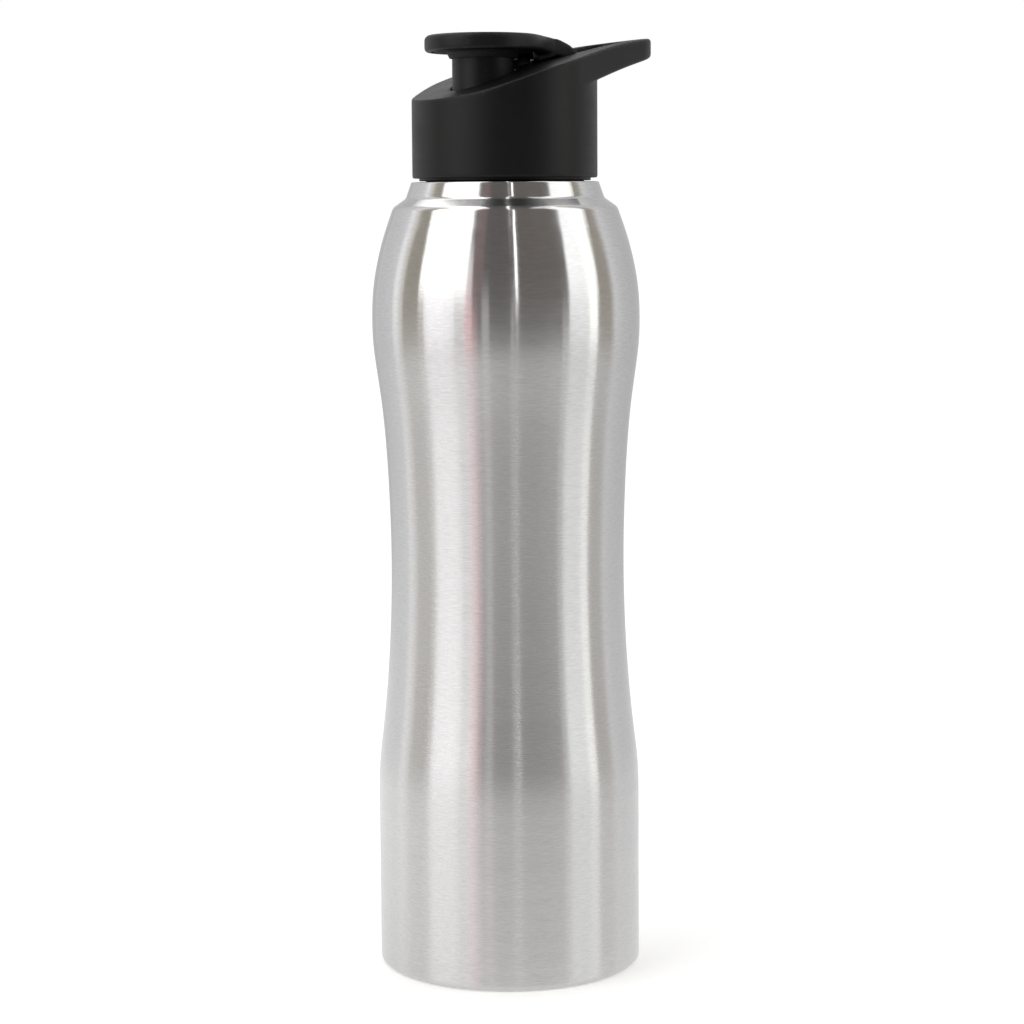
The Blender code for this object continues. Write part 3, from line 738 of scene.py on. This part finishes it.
def pin_steel():
    """Ground steel rod with fine lines round it."""
    steel = Finish("steel_ground_pin")
    steel.set(metallic=1.0)
    lines = steel.noise(steel.scaled(300, 6000, 300), detail=2.0)
    spots = steel.noise(steel.place, scale=400, detail=3.0)
    steel.drive("Base Color", steel.mix(spots, (0.60, 0.59, 0.58), (0.72, 0.72, 0.71)))
    steel.drive("Roughness", steel.remap(lines, 0.3, 0.7, 0.16, 0.30))
    steel.drive("Normal", steel.bump(lines, 0.000004))
    return steel.material


def pale_floor():
    """Matt white paper with a hardly visible tooth, which brightens to pure white further out."""
    paper = Finish("floor_paper")
    fibres = paper.noise(paper.place, scale=900, detail=4.0)
    out = paper.remap(paper.reach(), 0.08, 0.70, 0.0, 1.0, smooth=True)
    near = paper.mix(fibres, (0.86, 0.86, 0.86), (0.90, 0.90, 0.90))
    paper.drive("Base Color", paper.mix(out, near, (0.0, 0.0, 0.0)))
    paper.drive("Roughness", paper.remap(fibres, 0.3, 0.7, 0.8, 0.95))
    paper.shader.inputs["Emission Color"].default_value = (1, 1, 1, 1)
    paper.drive("Emission Strength", paper.remap(out, 0.0, 1.0, 0.3, 1.02))
    return paper.material


def dark_sheet(name):
    """A black finish that shines by itself once its emission strength is set."""
    sheet = Finish(name)
    sheet.shader.inputs["Base Color"].default_value = (0, 0, 0, 1)
    sheet.shader.inputs["Specular IOR Level"].default_value = 0.0
    sheet.shader.inputs["Emission Color"].default_value = (1, 1, 1, 1)
    return sheet


def even_glow(name, level):
    """A sheet that shines evenly at that radiance."""
    sheet = dark_sheet(name)
    sheet.shader.inputs["Emission Strength"].default_value = level
    return sheet.material


def table_glow():
    """The lit table: brightest at the left of the bottle, dim only far out towards the camera."""
    sheet = dark_sheet("table_glow")
    reach = sheet.reach()
    facing = sheet.math("DIVIDE", sheet.along("Y"), reach)
    rim = sheet.remap(facing, -0.92, -0.72, 0.15, 0.55, smooth=True)
    near = sheet.remap(sheet.along("X"), -0.25, 0.05, 1.18, 0.91, smooth=True)
    share = sheet.remap(reach, 0.25, TABLE_RADIUS, 0.0, 1.0, smooth=True)
    far_part = sheet.math("MULTIPLY", rim, share)
    near_part = sheet.math("MULTIPLY", near, sheet.math("SUBTRACT", 1.0, share))
    sheet.drive("Emission Strength", sheet.math("ADD", near_part, far_part))
    return sheet.material


# ---------------------------------------------------------------- steel


def wall_path():
    """The outside of the shell from the base seam to the head of its hourglass wall."""
    rings = outer_rings("bottle_body", WALL_FOOT, WALL_HEAD)
    foot = [(height, BASE_RADIUS) for height in STRAIGHT_FOOT]
    curve = [(radius, height) for height, radius in natural_spline(foot + rings, WALL_STEPS)]
    return refined([(BASE_RADIUS, BASE_SEAM), curve[0]], 3 * MM)[:-1] + curve


def make_bottle_body():
    """One thin skin: hourglass wall, stepped shoulder, neck with its rolled thread, curled lip."""
    wall = wall_path()
    curl_end = NECK_RADIUS - 2 * LIP_BEAD_RADIUS
    bead = 0.99 * LIP_BEAD_RADIUS  # so that the lip's two fillets don't quite meet
    corners = [
        (*wall[-2], 0),
        (*SHOULDER_EDGE, SHOULDER_EDGE_FILLET),
        (*SHOULDER_CREASE, SHOULDER_CREASE_FILLET),
        (NECK_STEP_RADIUS, NECK_STEP_TOP, NECK_STEP_FILLET),
        (NECK_RADIUS, NECK_STEP_TOP, NECK_ROOT_FILLET),
        (NECK_RADIUS, LIP_TOP, bead),
        (curl_end, LIP_TOP, bead),
        (curl_end, LIP_TOP - LIP_CURL_DEPTH, 0),
    ]
    top = refined(rounded_path(corners), 0.25 * MM)
    path = skin_path(wall[:-2] + top, WALL)
    thread = thread_lift(NECK_THREAD_START, THREAD_HEIGHT)
    mesh = turned_mesh("steel_shell", path, COLUMNS, closed=True, lift=thread)
    return new_object("steel_shell", mesh)


def make_base_plate():
    """The pressed base: contact ring, shallow recess, and a rim that meets the shell at its seam."""
    corner = BASE_RADIUS - RING_OUTER
    inner_corner = corner - PLATE_THICKNESS
    floor_top = RECESS_DEPTH + PLATE_THICKNESS
    inside = rounded_path(
        [
            (0, floor_top, 0),
            (RECESS_RADIUS - PLATE_SLOPE_INSET, floor_top, PLATE_INNER_FILLET),
            (RING_INNER - PLATE_SLOPE_INSET, PLATE_THICKNESS, PLATE_INNER_FILLET),
            (RING_OUTER, PLATE_THICKNESS, 0),
        ]
    )
    turn_up = arc((RING_OUTER, corner), inner_corner, -90, 0, 10)[1:]
    rims = [(BASE_RADIUS - PLATE_THICKNESS, BASE_SEAM), (BASE_RADIUS, BASE_SEAM)]
    turn_down = arc((RING_OUTER, corner), corner, 0, -90, 16)
    under = rounded_path(
        [
            (RING_OUTER - 0.1 * MM, 0, 0),
            (RING_INNER, 0, PLATE_OUTER_FILLET),
            (RECESS_RADIUS, RECESS_DEPTH, PLATE_OUTER_FILLET),
            (0, RECESS_DEPTH, 0),
        ]
    )
    path = refined(inside + turn_up + rims + turn_down + under, 2 * MM)
    return new_object("steel_base", turned_mesh("steel_base", path, COLUMNS))


# ---------------------------------------------------------------- cap


def vent_tilt():
    """The deck's slope at the vent, as a turn about Y."""
    reach = 2 * MM
    rise = deck_height(VENT_X + reach) - deck_height(VENT_X - reach)
    return -math.atan2(rise, 2 * reach)


def places_between(start, end, count):
    """Evenly spaced places, both ends included."""
    return [start + (end - start) * i / count for i in range(count + 1)]


def cap_cavity():
    """The hollow of the collar: up to the deck, but round the hinge block and the spout's boss."""
    reach = COLLAR_BORE + 1 * MM
    below = COLLAR_BOTTOM - 1 * MM
    places = places_between(-reach, HINGE_BLOCK_FRONT, 24)
    under_deck = [(x, deck_height(x) - DECK_THICKNESS) for x in places]
    outline = [
        (-reach, below),
        (reach, below),
        (reach, HINGE_BLOCK_BOTTOM),
        (HINGE_BLOCK_FRONT, HINGE_BLOCK_BOTTOM),
        *reversed(under_deck),
    ]
    cavity = side_plate("cap_cavity", outline, reach)
    boss_bottom = FOOT_BOTTOM + FOOT_THICKNESS + GAP
    return carve(
        cavity,
        [
            ("INTERSECT", upright("collar_bore", 0, COLLAR_BORE, below - 1 * MM, ABOVE_CAP)),
            ("DIFFERENCE", upright("spout_boss", SPOUT_X, BOSS_RADIUS, boss_bottom, ABOVE_CAP)),
        ],
    )


def collar():
    """The outside of the collar, up to the slanted deck, with a small round rim."""
    side = arc((0, 0), COLLAR_RADIUS, 179.5, 0.5, 2 * COLUMNS // 3)
    return rounded_slab(
        "cap_moulding", side, lambda x: COLLAR_BOTTOM, deck_height, COLLAR_FOOT_FILLET, RIM_FILLET
    )


def finger_loop():
    """The loop's slab: in plan a line tangent to the collar, closed by the round tip."""
    tangent = math.degrees(math.acos((COLLAR_RADIUS - LOOP_TIP_RADIUS) / LOOP_TIP_CENTRE))
    root = arc((0, 0), COLLAR_RADIUS, tangent + 12, tangent, 8)
    tip = arc((LOOP_TIP_CENTRE, 0), LOOP_TIP_RADIUS, tangent, 0.5, 48)
    return rounded_slab(
        "finger_loop",
        refined(root + tip, 1 * MM),
        lambda x: height_through(LOOP_UNDERSIDE_STATIONS, x),
        deck_height,
        LOOP_UNDER_FILLET,
        LOOP_FILLET,
    )


def hinge_and_finger_hole():
    """The slot between the ears, which runs on into the finger hole with its round end."""
    end = arc((HOLE_END_CENTRE, 0), HOLE_HALF_WIDTH, 90, -90, 40)
    front = [(HOLE_FRONT, -HOLE_HALF_WIDTH), (HOLE_FRONT, HOLE_HALF_WIDTH)]
    mesh = plate_mesh("hinge_slot", front + end, POCKET_FLOOR, ABOVE_CAP + 3 * MM)
    return new_object("hinge_slot", mesh)


def vent_hole():
    """The valve's hole, square to the slanted deck."""
    reach = 4 * MM
    hole = upright("vent_hole", VENT_X, VENT_HOLE_RADIUS, -reach, reach, SMALL_COLUMNS)
    hole.location.z = deck_height(VENT_X)
    hole.rotation_euler.y = vent_tilt()
    return hole


def make_cap_shell():
    """The outer moulding: collar, slanted deck, finger loop and hinge ears in one."""
    shell = collar()
    cuts = [
        cap_cavity(),
        hinge_and_finger_hole(),
        upright("spout_hole", SPOUT_X, SPOUT_RADIUS + GAP, LINER_TOP, ABOVE_CAP),
        vent_hole(),
        crosswise("pin_bore", PIN_RADIUS + PIN_CLEARANCE, PIN_BORE_BLIND_END, COLLAR_RADIUS),
    ]
    carve(shell, [("UNION", finger_loop())] + [("DIFFERENCE", cut) for cut in cuts])
    return soften(shell, passes=4)


def make_cap_liner():
    """The threaded insert. Its lower edge shows as the black ring under the collar."""
    rim = (LINER_RADIUS, LINER_TOP, 0.6 * MM)
    top = rounded_path([(0, LINER_TOP, 0), rim, (LINER_RADIUS, LINER_ROOF, 0)])
    middle = (LINER_RADIUS + LINER_BORE) / 2
    outside = rounded_path(
        [
            (*top[-1], 0),
            (LINER_RADIUS, COLLAR_BOTTOM + 1 * MM, 0.5 * MM),
            (LINER_FOOT_RADIUS, COLLAR_BOTTOM, 0.3 * MM),
            (LINER_FOOT_RADIUS, LINER_BOTTOM, 0.2 * MM),
            (middle, LINER_BOTTOM, 0),
        ]
    )
    inside = rounded_path(
        [
            (middle, LINER_BOTTOM, 0),
            (LINER_BORE, LINER_BOTTOM, 0.2 * MM),
            (LINER_BORE, LINER_ROOF, 0.3 * MM),
            (0, LINER_ROOF, 0),
        ]
    )
    path = top[:-1] + outside[:-1] + refined(inside, 0.3 * MM)
    lift = thread_lift(LINER_THREAD_START, -THREAD_HEIGHT, LINER_BORE + 0.05 * MM)
    liner = new_object("cap_insert", turned_mesh("cap_insert", path, COLUMNS, lift=lift))
    ends = LINER_ROOF - 2 * MM, LINER_TOP + 2 * MM
    cuts = [
        upright("drink_hole", SPOUT_X, DRINK_HOLE_RADIUS, *ends, SMALL_COLUMNS),
        upright("vent_passage", VENT_X, VENT_PASSAGE_RADIUS, *ends, SMALL_COLUMNS),
    ]
    carve(liner, [("DIFFERENCE", cut) for cut in cuts])
    liner.data.shade_smooth()
    liner.data.set_sharp_from_angle(angle=math.radians(40))
    return liner


def make_washer(name, node, inner, columns):
    """A soft flat ring with rounded edges, as high and wide as its CAD node."""
    low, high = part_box(node)
    outer = (high.x - low.x) / 2
    fillet = 0.35 * (high.z - low.z)
    middle = ((inner + outer) / 2, low.z)
    corners = [
        (*middle, 0),
        (inner, low.z, fillet),
        (inner, high.z, fillet),
        (outer, high.z, fillet),
        (outer, low.z, fillet),
        (*middle, 0),
    ]
    ring = new_object(name, turned_mesh(name, rounded_path(corners)[:-1], columns, closed=True))
    ring.location.x = (low.x + high.x) / 2
    return ring


def make_drinking_spout():
    """The mouthpiece: a straight tube with a softened rim, on a wider foot."""
    foot_top = FOOT_BOTTOM + FOOT_THICKNESS
    middle = ((SPOUT_BORE + FOOT_RADIUS) / 2, FOOT_BOTTOM)
    corners = [
        (*middle, 0),
        (SPOUT_BORE, FOOT_BOTTOM, 0.3 * MM),
        (SPOUT_BORE, SPOUT_TOP, 0.95 * MM),
        (SPOUT_RADIUS, SPOUT_TOP, 0.95 * MM),
        (SPOUT_RADIUS, foot_top, 0.3 * MM),
        (FOOT_RADIUS, foot_top, 0.3 * MM),
        (FOOT_RADIUS, FOOT_BOTTOM, 0.3 * MM),
        (*middle, 0),
    ]
    path = refined(rounded_path(corners), 1 * MM)[:-1]
    spout = new_object("spout_tube", turned_mesh("spout_tube", path, SMALL_COLUMNS, closed=True))
    spout.location.x = SPOUT_X
    return spout


def make_vent_valve():
    """A soft mushroom: dome on the deck, stem through it, bulb beneath it."""
    bulb_top = -DECK_THICKNESS - GAP
    bulb_bottom = bulb_top - VENT_BULB_HEIGHT
    path = rounded_path(
        [
            (0, GAP + VENT_DOME_HEIGHT, 0),
            (0.62 * VENT_DOME_RADIUS, GAP + VENT_DOME_HEIGHT, 1.2 * MM),
            (VENT_DOME_RADIUS, GAP + 0.5 * MM, 0.3 * MM),
            (VENT_DOME_RADIUS, GAP, 0.15 * MM),
            (VENT_STEM_RADIUS, GAP, 0.15 * MM),
            (VENT_STEM_RADIUS, bulb_top, 0.15 * MM),
            (VENT_BULB_RADIUS, bulb_top, 0.2 * MM),
            (0.5 * VENT_BULB_RADIUS, bulb_bottom, 0.3 * MM),
            (0, bulb_bottom, 0),
        ]
    )
    valve = new_object("vent_mushroom", turned_mesh("vent_mushroom", path, SMALL_COLUMNS))
    valve.location = (VENT_X, 0, deck_height(VENT_X))
    valve.rotation_euler.y = vent_tilt()
    return valve


def make_hinge_pin():
    """A ground rod with chamfered ends."""
    low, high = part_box("hinge_pin")
    end_radius = PIN_RADIUS - PIN_CHAMFER
    path = [(0, low.y), (end_radius, low.y), (PIN_RADIUS, low.y + PIN_CHAMFER)]
    path += [(PIN_RADIUS, high.y - PIN_CHAMFER), (end_radius, high.y), (0, high.y)]
    mesh = turned_mesh("lid_pin", path, SMALL_COLUMNS)
    mesh.transform(Matrix.Rotation(-math.pi / 2, 4, "X"))
    mesh.set_sharp_from_angle(angle=math.radians(30))
    pin = new_object("lid_pin", mesh)
    pin.location = (HINGE_X, 0, HINGE_Z)
    return pin


# ---------------------------------------------------------------- lid


def lid_side():
    """Half the lid's outline in plan: the disc's edge runs on at a tangent and narrows to the arm."""
    reach = ARM_WAIST_X - SPOUT_X
    spread = math.acos(LID_RADIUS / math.hypot(reach, ARM_HALF_WIDTH))
    tangent = math.degrees(math.atan2(ARM_HALF_WIDTH, reach) + spread)
    disc = arc((SPOUT_X, 0), LID_RADIUS, 179, tangent, 90)
    arm = rounded_path(
        [
            (*disc[-1], 0),
            (ARM_WAIST_X, ARM_HALF_WIDTH, ARM_WAIST_FILLET),
            (HINGE_X - KNUCKLE_RADIUS, ARM_HALF_WIDTH, 0),
        ]
    )
    return refined(disc + arm[1:], 0.6 * MM)


def lid_top(x):
    """Height of the lid's upper face at x."""
    return height_through(LID_TOP_STATIONS, x)


def lid_underside(x):
    """Height of the lid's lower face at x."""
    return height_through(LID_UNDERSIDE_STATIONS, x)


def lid_slab():
    """The lid as a slab with rounded edges. Its top and underside bend down along the arm."""
    return rounded_slab(
        "flip_lid_moulding", lid_side(), lid_underside, lid_top, LID_UNDER_FILLET, LID_TOP_FILLET
    )


def lid_knuckle():
    """The end of the arm in side view: it bends down and wraps the pin."""
    top = [(x, lid_top(x)) for x in places_between(ARM_BEND_X, ARM_TOP_END, 12)]
    knuckle = arc((HINGE_X, HINGE_Z), KNUCKLE_RADIUS, 70, -180, 40)
    under = [(x, lid_underside(x)) for x in places_between(ARM_UNDERSIDE_END, ARM_BEND_X, 6)]
    return side_plate("lid_knuckle", top + knuckle + under, ARM_HALF_WIDTH)


def arm_rib(name, side):
    """A rib under the arm, which follows the slanted deck just above it. side is 1 or -1."""
    root = LID_BOTTOM + 1 * MM
    outline = [
        (RIB_FRONT, root),
        (RIB_FRONT, deck_height(RIB_FRONT) + RIB_CLEARANCE),
        (RIB_END, deck_height(RIB_END) + RIB_CLEARANCE),
        (RIB_END, root),
    ]
    rib = side_plate(name, outline, RIB_THICKNESS / 2)
    rib.location.y = side * (RIB_OUTER - RIB_THICKNESS / 2)
    return rib


def make_flip_lid():
    """The round lid over the spout with its hinge arm, hollowed underneath for the plug."""
    lid = lid_slab()
    below = LID_BOTTOM - 2 * MM
    reach = ARM_HALF_WIDTH + 2 * MM
    added = [lid_knuckle(), arm_rib("near_rib", -1), arm_rib("far_rib", 1)]
    cuts = [
        upright("lid_recess", SPOUT_X, LID_RECESS_RADIUS, below, LID_RECESS_ROOF),
        crosswise("knuckle_bore", PIN_RADIUS + PIN_CLEARANCE, -reach, reach),
    ]
    carve(lid, [("UNION", part) for part in added] + [("DIFFERENCE", cut) for cut in cuts])
    return soften(lid, passes=5)


def make_lid_plug():
    """The soft plug: a flange over the spout's rim, a short skirt round it, a nub in its bore."""
    flange_top = LID_RECESS_ROOF - GAP
    flange_bottom = LID_BOTTOM
    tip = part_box("lid_plug")[0].z
    path = rounded_path(
        [
            (0, flange_top, 0),
            (PLUG_FLANGE_RADIUS, flange_top, 0.3 * MM),
            (PLUG_FLANGE_RADIUS, flange_bottom, 0.4 * MM),
            (PLUG_SKIRT_OUTER, flange_bottom, 0.3 * MM),
            (PLUG_SKIRT_TIP, PLUG_SKIRT_BOTTOM, 0.15 * MM),
            (SPOUT_RADIUS + GAP, PLUG_SKIRT_BOTTOM, 0.15 * MM),
            (SPOUT_RADIUS + GAP, flange_bottom, 0.2 * MM),
            (SPOUT_BORE - 0.9 * MM, flange_bottom, 0.3 * MM),
            (SPOUT_BORE - 1.2 * MM, tip, 0.8 * MM),
            (0, tip, 0),
        ]
    )
    plug = new_object("soft_plug", turned_mesh("soft_plug", refined(path, 1 * MM), SMALL_COLUMNS))
    plug.location.x = SPOUT_X
    return plug


# ---------------------------------------------------------------- stage


def view_frame():
    """Unit vectors on the floor: away from the camera, and to its right."""
    away = Vector((-math.sin(CAMERA_TURN), math.cos(CAMERA_TURN), 0))
    right = Vector((math.cos(CAMERA_TURN), math.sin(CAMERA_TURN), 0))
    return away, right


def add_camera():
    """A long lens at the height of the shoulder, looking a little down."""
    away, right = view_frame()
    data = bpy.data.cameras.new("camera")
    data.lens = CAMERA_LENS
    data.sensor_width = 36
    data.clip_start = 0.01
    camera = new_object("camera", data)
    place = right * CAMERA_ASIDE - away * CAMERA_DISTANCE + Vector((0, 0, CAMERA_HEIGHT))
    look = away * math.cos(CAMERA_PITCH) - Vector((0, 0, math.sin(CAMERA_PITCH)))
    aim = look.to_track_quat("-Z", "Y").to_matrix().to_4x4()
    camera.matrix_world = Matrix.Translation(place) @ aim @ Matrix.Rotation(CAMERA_ROLL, 4, "Z")
    bpy.context.scene.camera = camera


def add_soft_box(name, start, end, low, high, radiance, colour):
    """An upright area light at the studio's distance, facing the bottle."""
    away, right = view_frame()
    middle = math.radians((start + end) / 2)
    outward = right * math.sin(middle) - away * math.cos(middle)
    width = 2 * LIGHT_DISTANCE * math.tan(math.radians(end - start) / 2)
    data = bpy.data.lights.new(name, "AREA")
    data.shape = "RECTANGLE"
    data.size = width
    data.size_y = high - low
    data.energy = radiance * math.pi * width * (high - low)
    data.color = colour
    light = new_object(name, data)
    light.location = outward * LIGHT_DISTANCE + Vector((0, 0, (low + high) / 2))
    light.rotation_euler = (-outward).to_track_quat("-Z", "Y").to_euler()
    light.visible_camera = False


def add_top_light():
    """A round light overhead, which fills the cap's top but doesn't mirror in the steel."""
    away, _ = view_frame()
    data = bpy.data.lights.new("top_light", "AREA")
    data.shape = "DISK"
    data.size = 1.2
    data.energy = 7.0
    top = new_object("top_light", data)
    top.location = away * TOP_LIGHT_ASIDE + Vector((0, 0, TOP_LIGHT_HEIGHT))
    top.visible_camera = False
    top.visible_glossy = False


def add_world():
    """A room that is dim on the camera's side and pale behind the bottle."""
    away, _ = view_frame()
    world = bpy.data.worlds.new("studio")
    bpy.context.scene.world = world
    world.use_nodes = True
    nodes, links = world.node_tree.nodes, world.node_tree.links
    place = nodes.new("ShaderNodeTexCoord").outputs["Generated"]
    dot = nodes.new("ShaderNodeVectorMath")
    dot.operation = "DOT_PRODUCT"
    dot.inputs[1].default_value = away
    links.new(place, dot.inputs[0])
    half = nodes.new("ShaderNodeMapRange")
    half.inputs["From Min"].default_value = -1.0
    links.new(dot.outputs["Value"], half.inputs["Value"])
    ramp = nodes.new("ShaderNodeValToRGB")
    stops = ramp.color_ramp.elements
    (_, first), *between, (_, last) = ROOM_COLOURS
    stops[0].color = (*first, 1)
    stops[1].color = (*last, 1)
    for position, colour in between:
        stops.new(position).color = (*colour, 1)
    links.new(half.outputs["Result"], ramp.inputs["Fac"])
    links.new(ramp.outputs["Color"], nodes["Background"].inputs["Color"])


def add_sheet(name, shape, finish, seen_by):
    """A piece of the studio, seen only by those kinds of ray."""
    mesh = mesh_from(name, shape)
    sheet = new_object(name, mesh)
    mesh.materials.append(finish)
    for kind in ("camera", "diffuse", "glossy", "transmission", "volume_scatter", "shadow"):
        setattr(sheet, "visible_" + kind, kind in seen_by)
    return sheet


def add_ceiling_strip(name, left, right, level, drop):
    """A flat strip overhead, running away from the camera, which only the steel mirrors."""
    strip = bmesh.new()
    sides = ((left, CEILING_NEAR), (right, CEILING_NEAR), (right, CEILING_FAR), (left, CEILING_FAR))
    strip.faces.new([strip.verts.new((x, y, 0)) for x, y in sides])
    sheet = add_sheet(name, strip, even_glow(name + "_glow", level), ("glossy",))
    sheet.location.z = CEILING_HEIGHT - drop
    sheet.rotation_euler.z = CAMERA_TURN


def disc(radius):
    """A flat round sheet on the floor's plane."""
    shape = bmesh.new()
    bmesh.ops.create_circle(shape, cap_ends=True, segments=96, radius=radius)
    return shape


def add_stage():
    """A pale floor to the horizon, the table and ceiling that the steel mirrors, a white backdrop."""
    add_sheet("floor", disc(STUDIO_RADIUS), pale_floor(), ("camera", "shadow"))
    table = add_sheet("table", disc(TABLE_RADIUS), table_glow(), ("glossy",))
    table.location.z = 0.1 * MM
    table.rotation_euler.z = CAMERA_TURN
    for strip in CEILING_STRIPS:
        add_ceiling_strip(*strip)
    backdrop = bmesh.new()
    bmesh.ops.create_uvsphere(backdrop, u_segments=48, v_segments=24, radius=STUDIO_RADIUS)
    add_sheet("backdrop", backdrop, even_glow("backdrop_white", 1.0), ("camera",))


# ---------------------------------------------------------------- assembly


def dress(obj, node, finish):
    """Puts the piece in its CAD node's place: same body, its finish."""
    obj.data.materials.clear()
    obj.data.materials.append(finish)
    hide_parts(node)
    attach(obj, frame["nodes"][node]["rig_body"])


STEEL = brushed_steel()
PLASTIC = moulded_plastic()
RUBBER = silicone("silicone_dark", (0.007, 0.007, 0.008), (0.012, 0.012, 0.013), (0.6, 0.8), 0.0)
GREY = silicone("silicone_grey", (0.055, 0.055, 0.057), (0.080, 0.080, 0.083), (0.5, 0.7), 0.0)
CLEAR = silicone("silicone_clear", (0.62, 0.62, 0.60), (0.74, 0.74, 0.72), (0.35, 0.5), 0.4)
PIN = pin_steel()

dress(make_bottle_body(), "bottle_body", STEEL)
dress(make_base_plate(), "base_plate", STEEL)
dress(make_cap_shell(), "cap_shell", PLASTIC)
dress(make_cap_liner(), "cap_liner", PLASTIC)
gasket = make_washer("mouth_gasket", "cap_gasket", GASKET_BORE, COLUMNS)
dress(gasket, "cap_gasket", CLEAR)
dress(make_drinking_spout(), "drinking_spout", PLASTIC)
spout_washer = make_washer("spout_washer", "spout_seal", SPOUT_SEAL_BORE, SMALL_COLUMNS)
dress(spout_washer, "spout_seal", CLEAR)
dress(make_vent_valve(), "vent_valve", GREY)
dress(make_hinge_pin(), "hinge_pin", PIN)
dress(make_flip_lid(), "flip_lid", PLASTIC)
dress(make_lid_plug(), "lid_plug", RUBBER)

add_camera()
for box in SOFT_BOXES:
    add_soft_box(*box)
add_top_light()
add_world()
add_stage()
bpy.context.scene.view_settings.view_transform = "Standard"
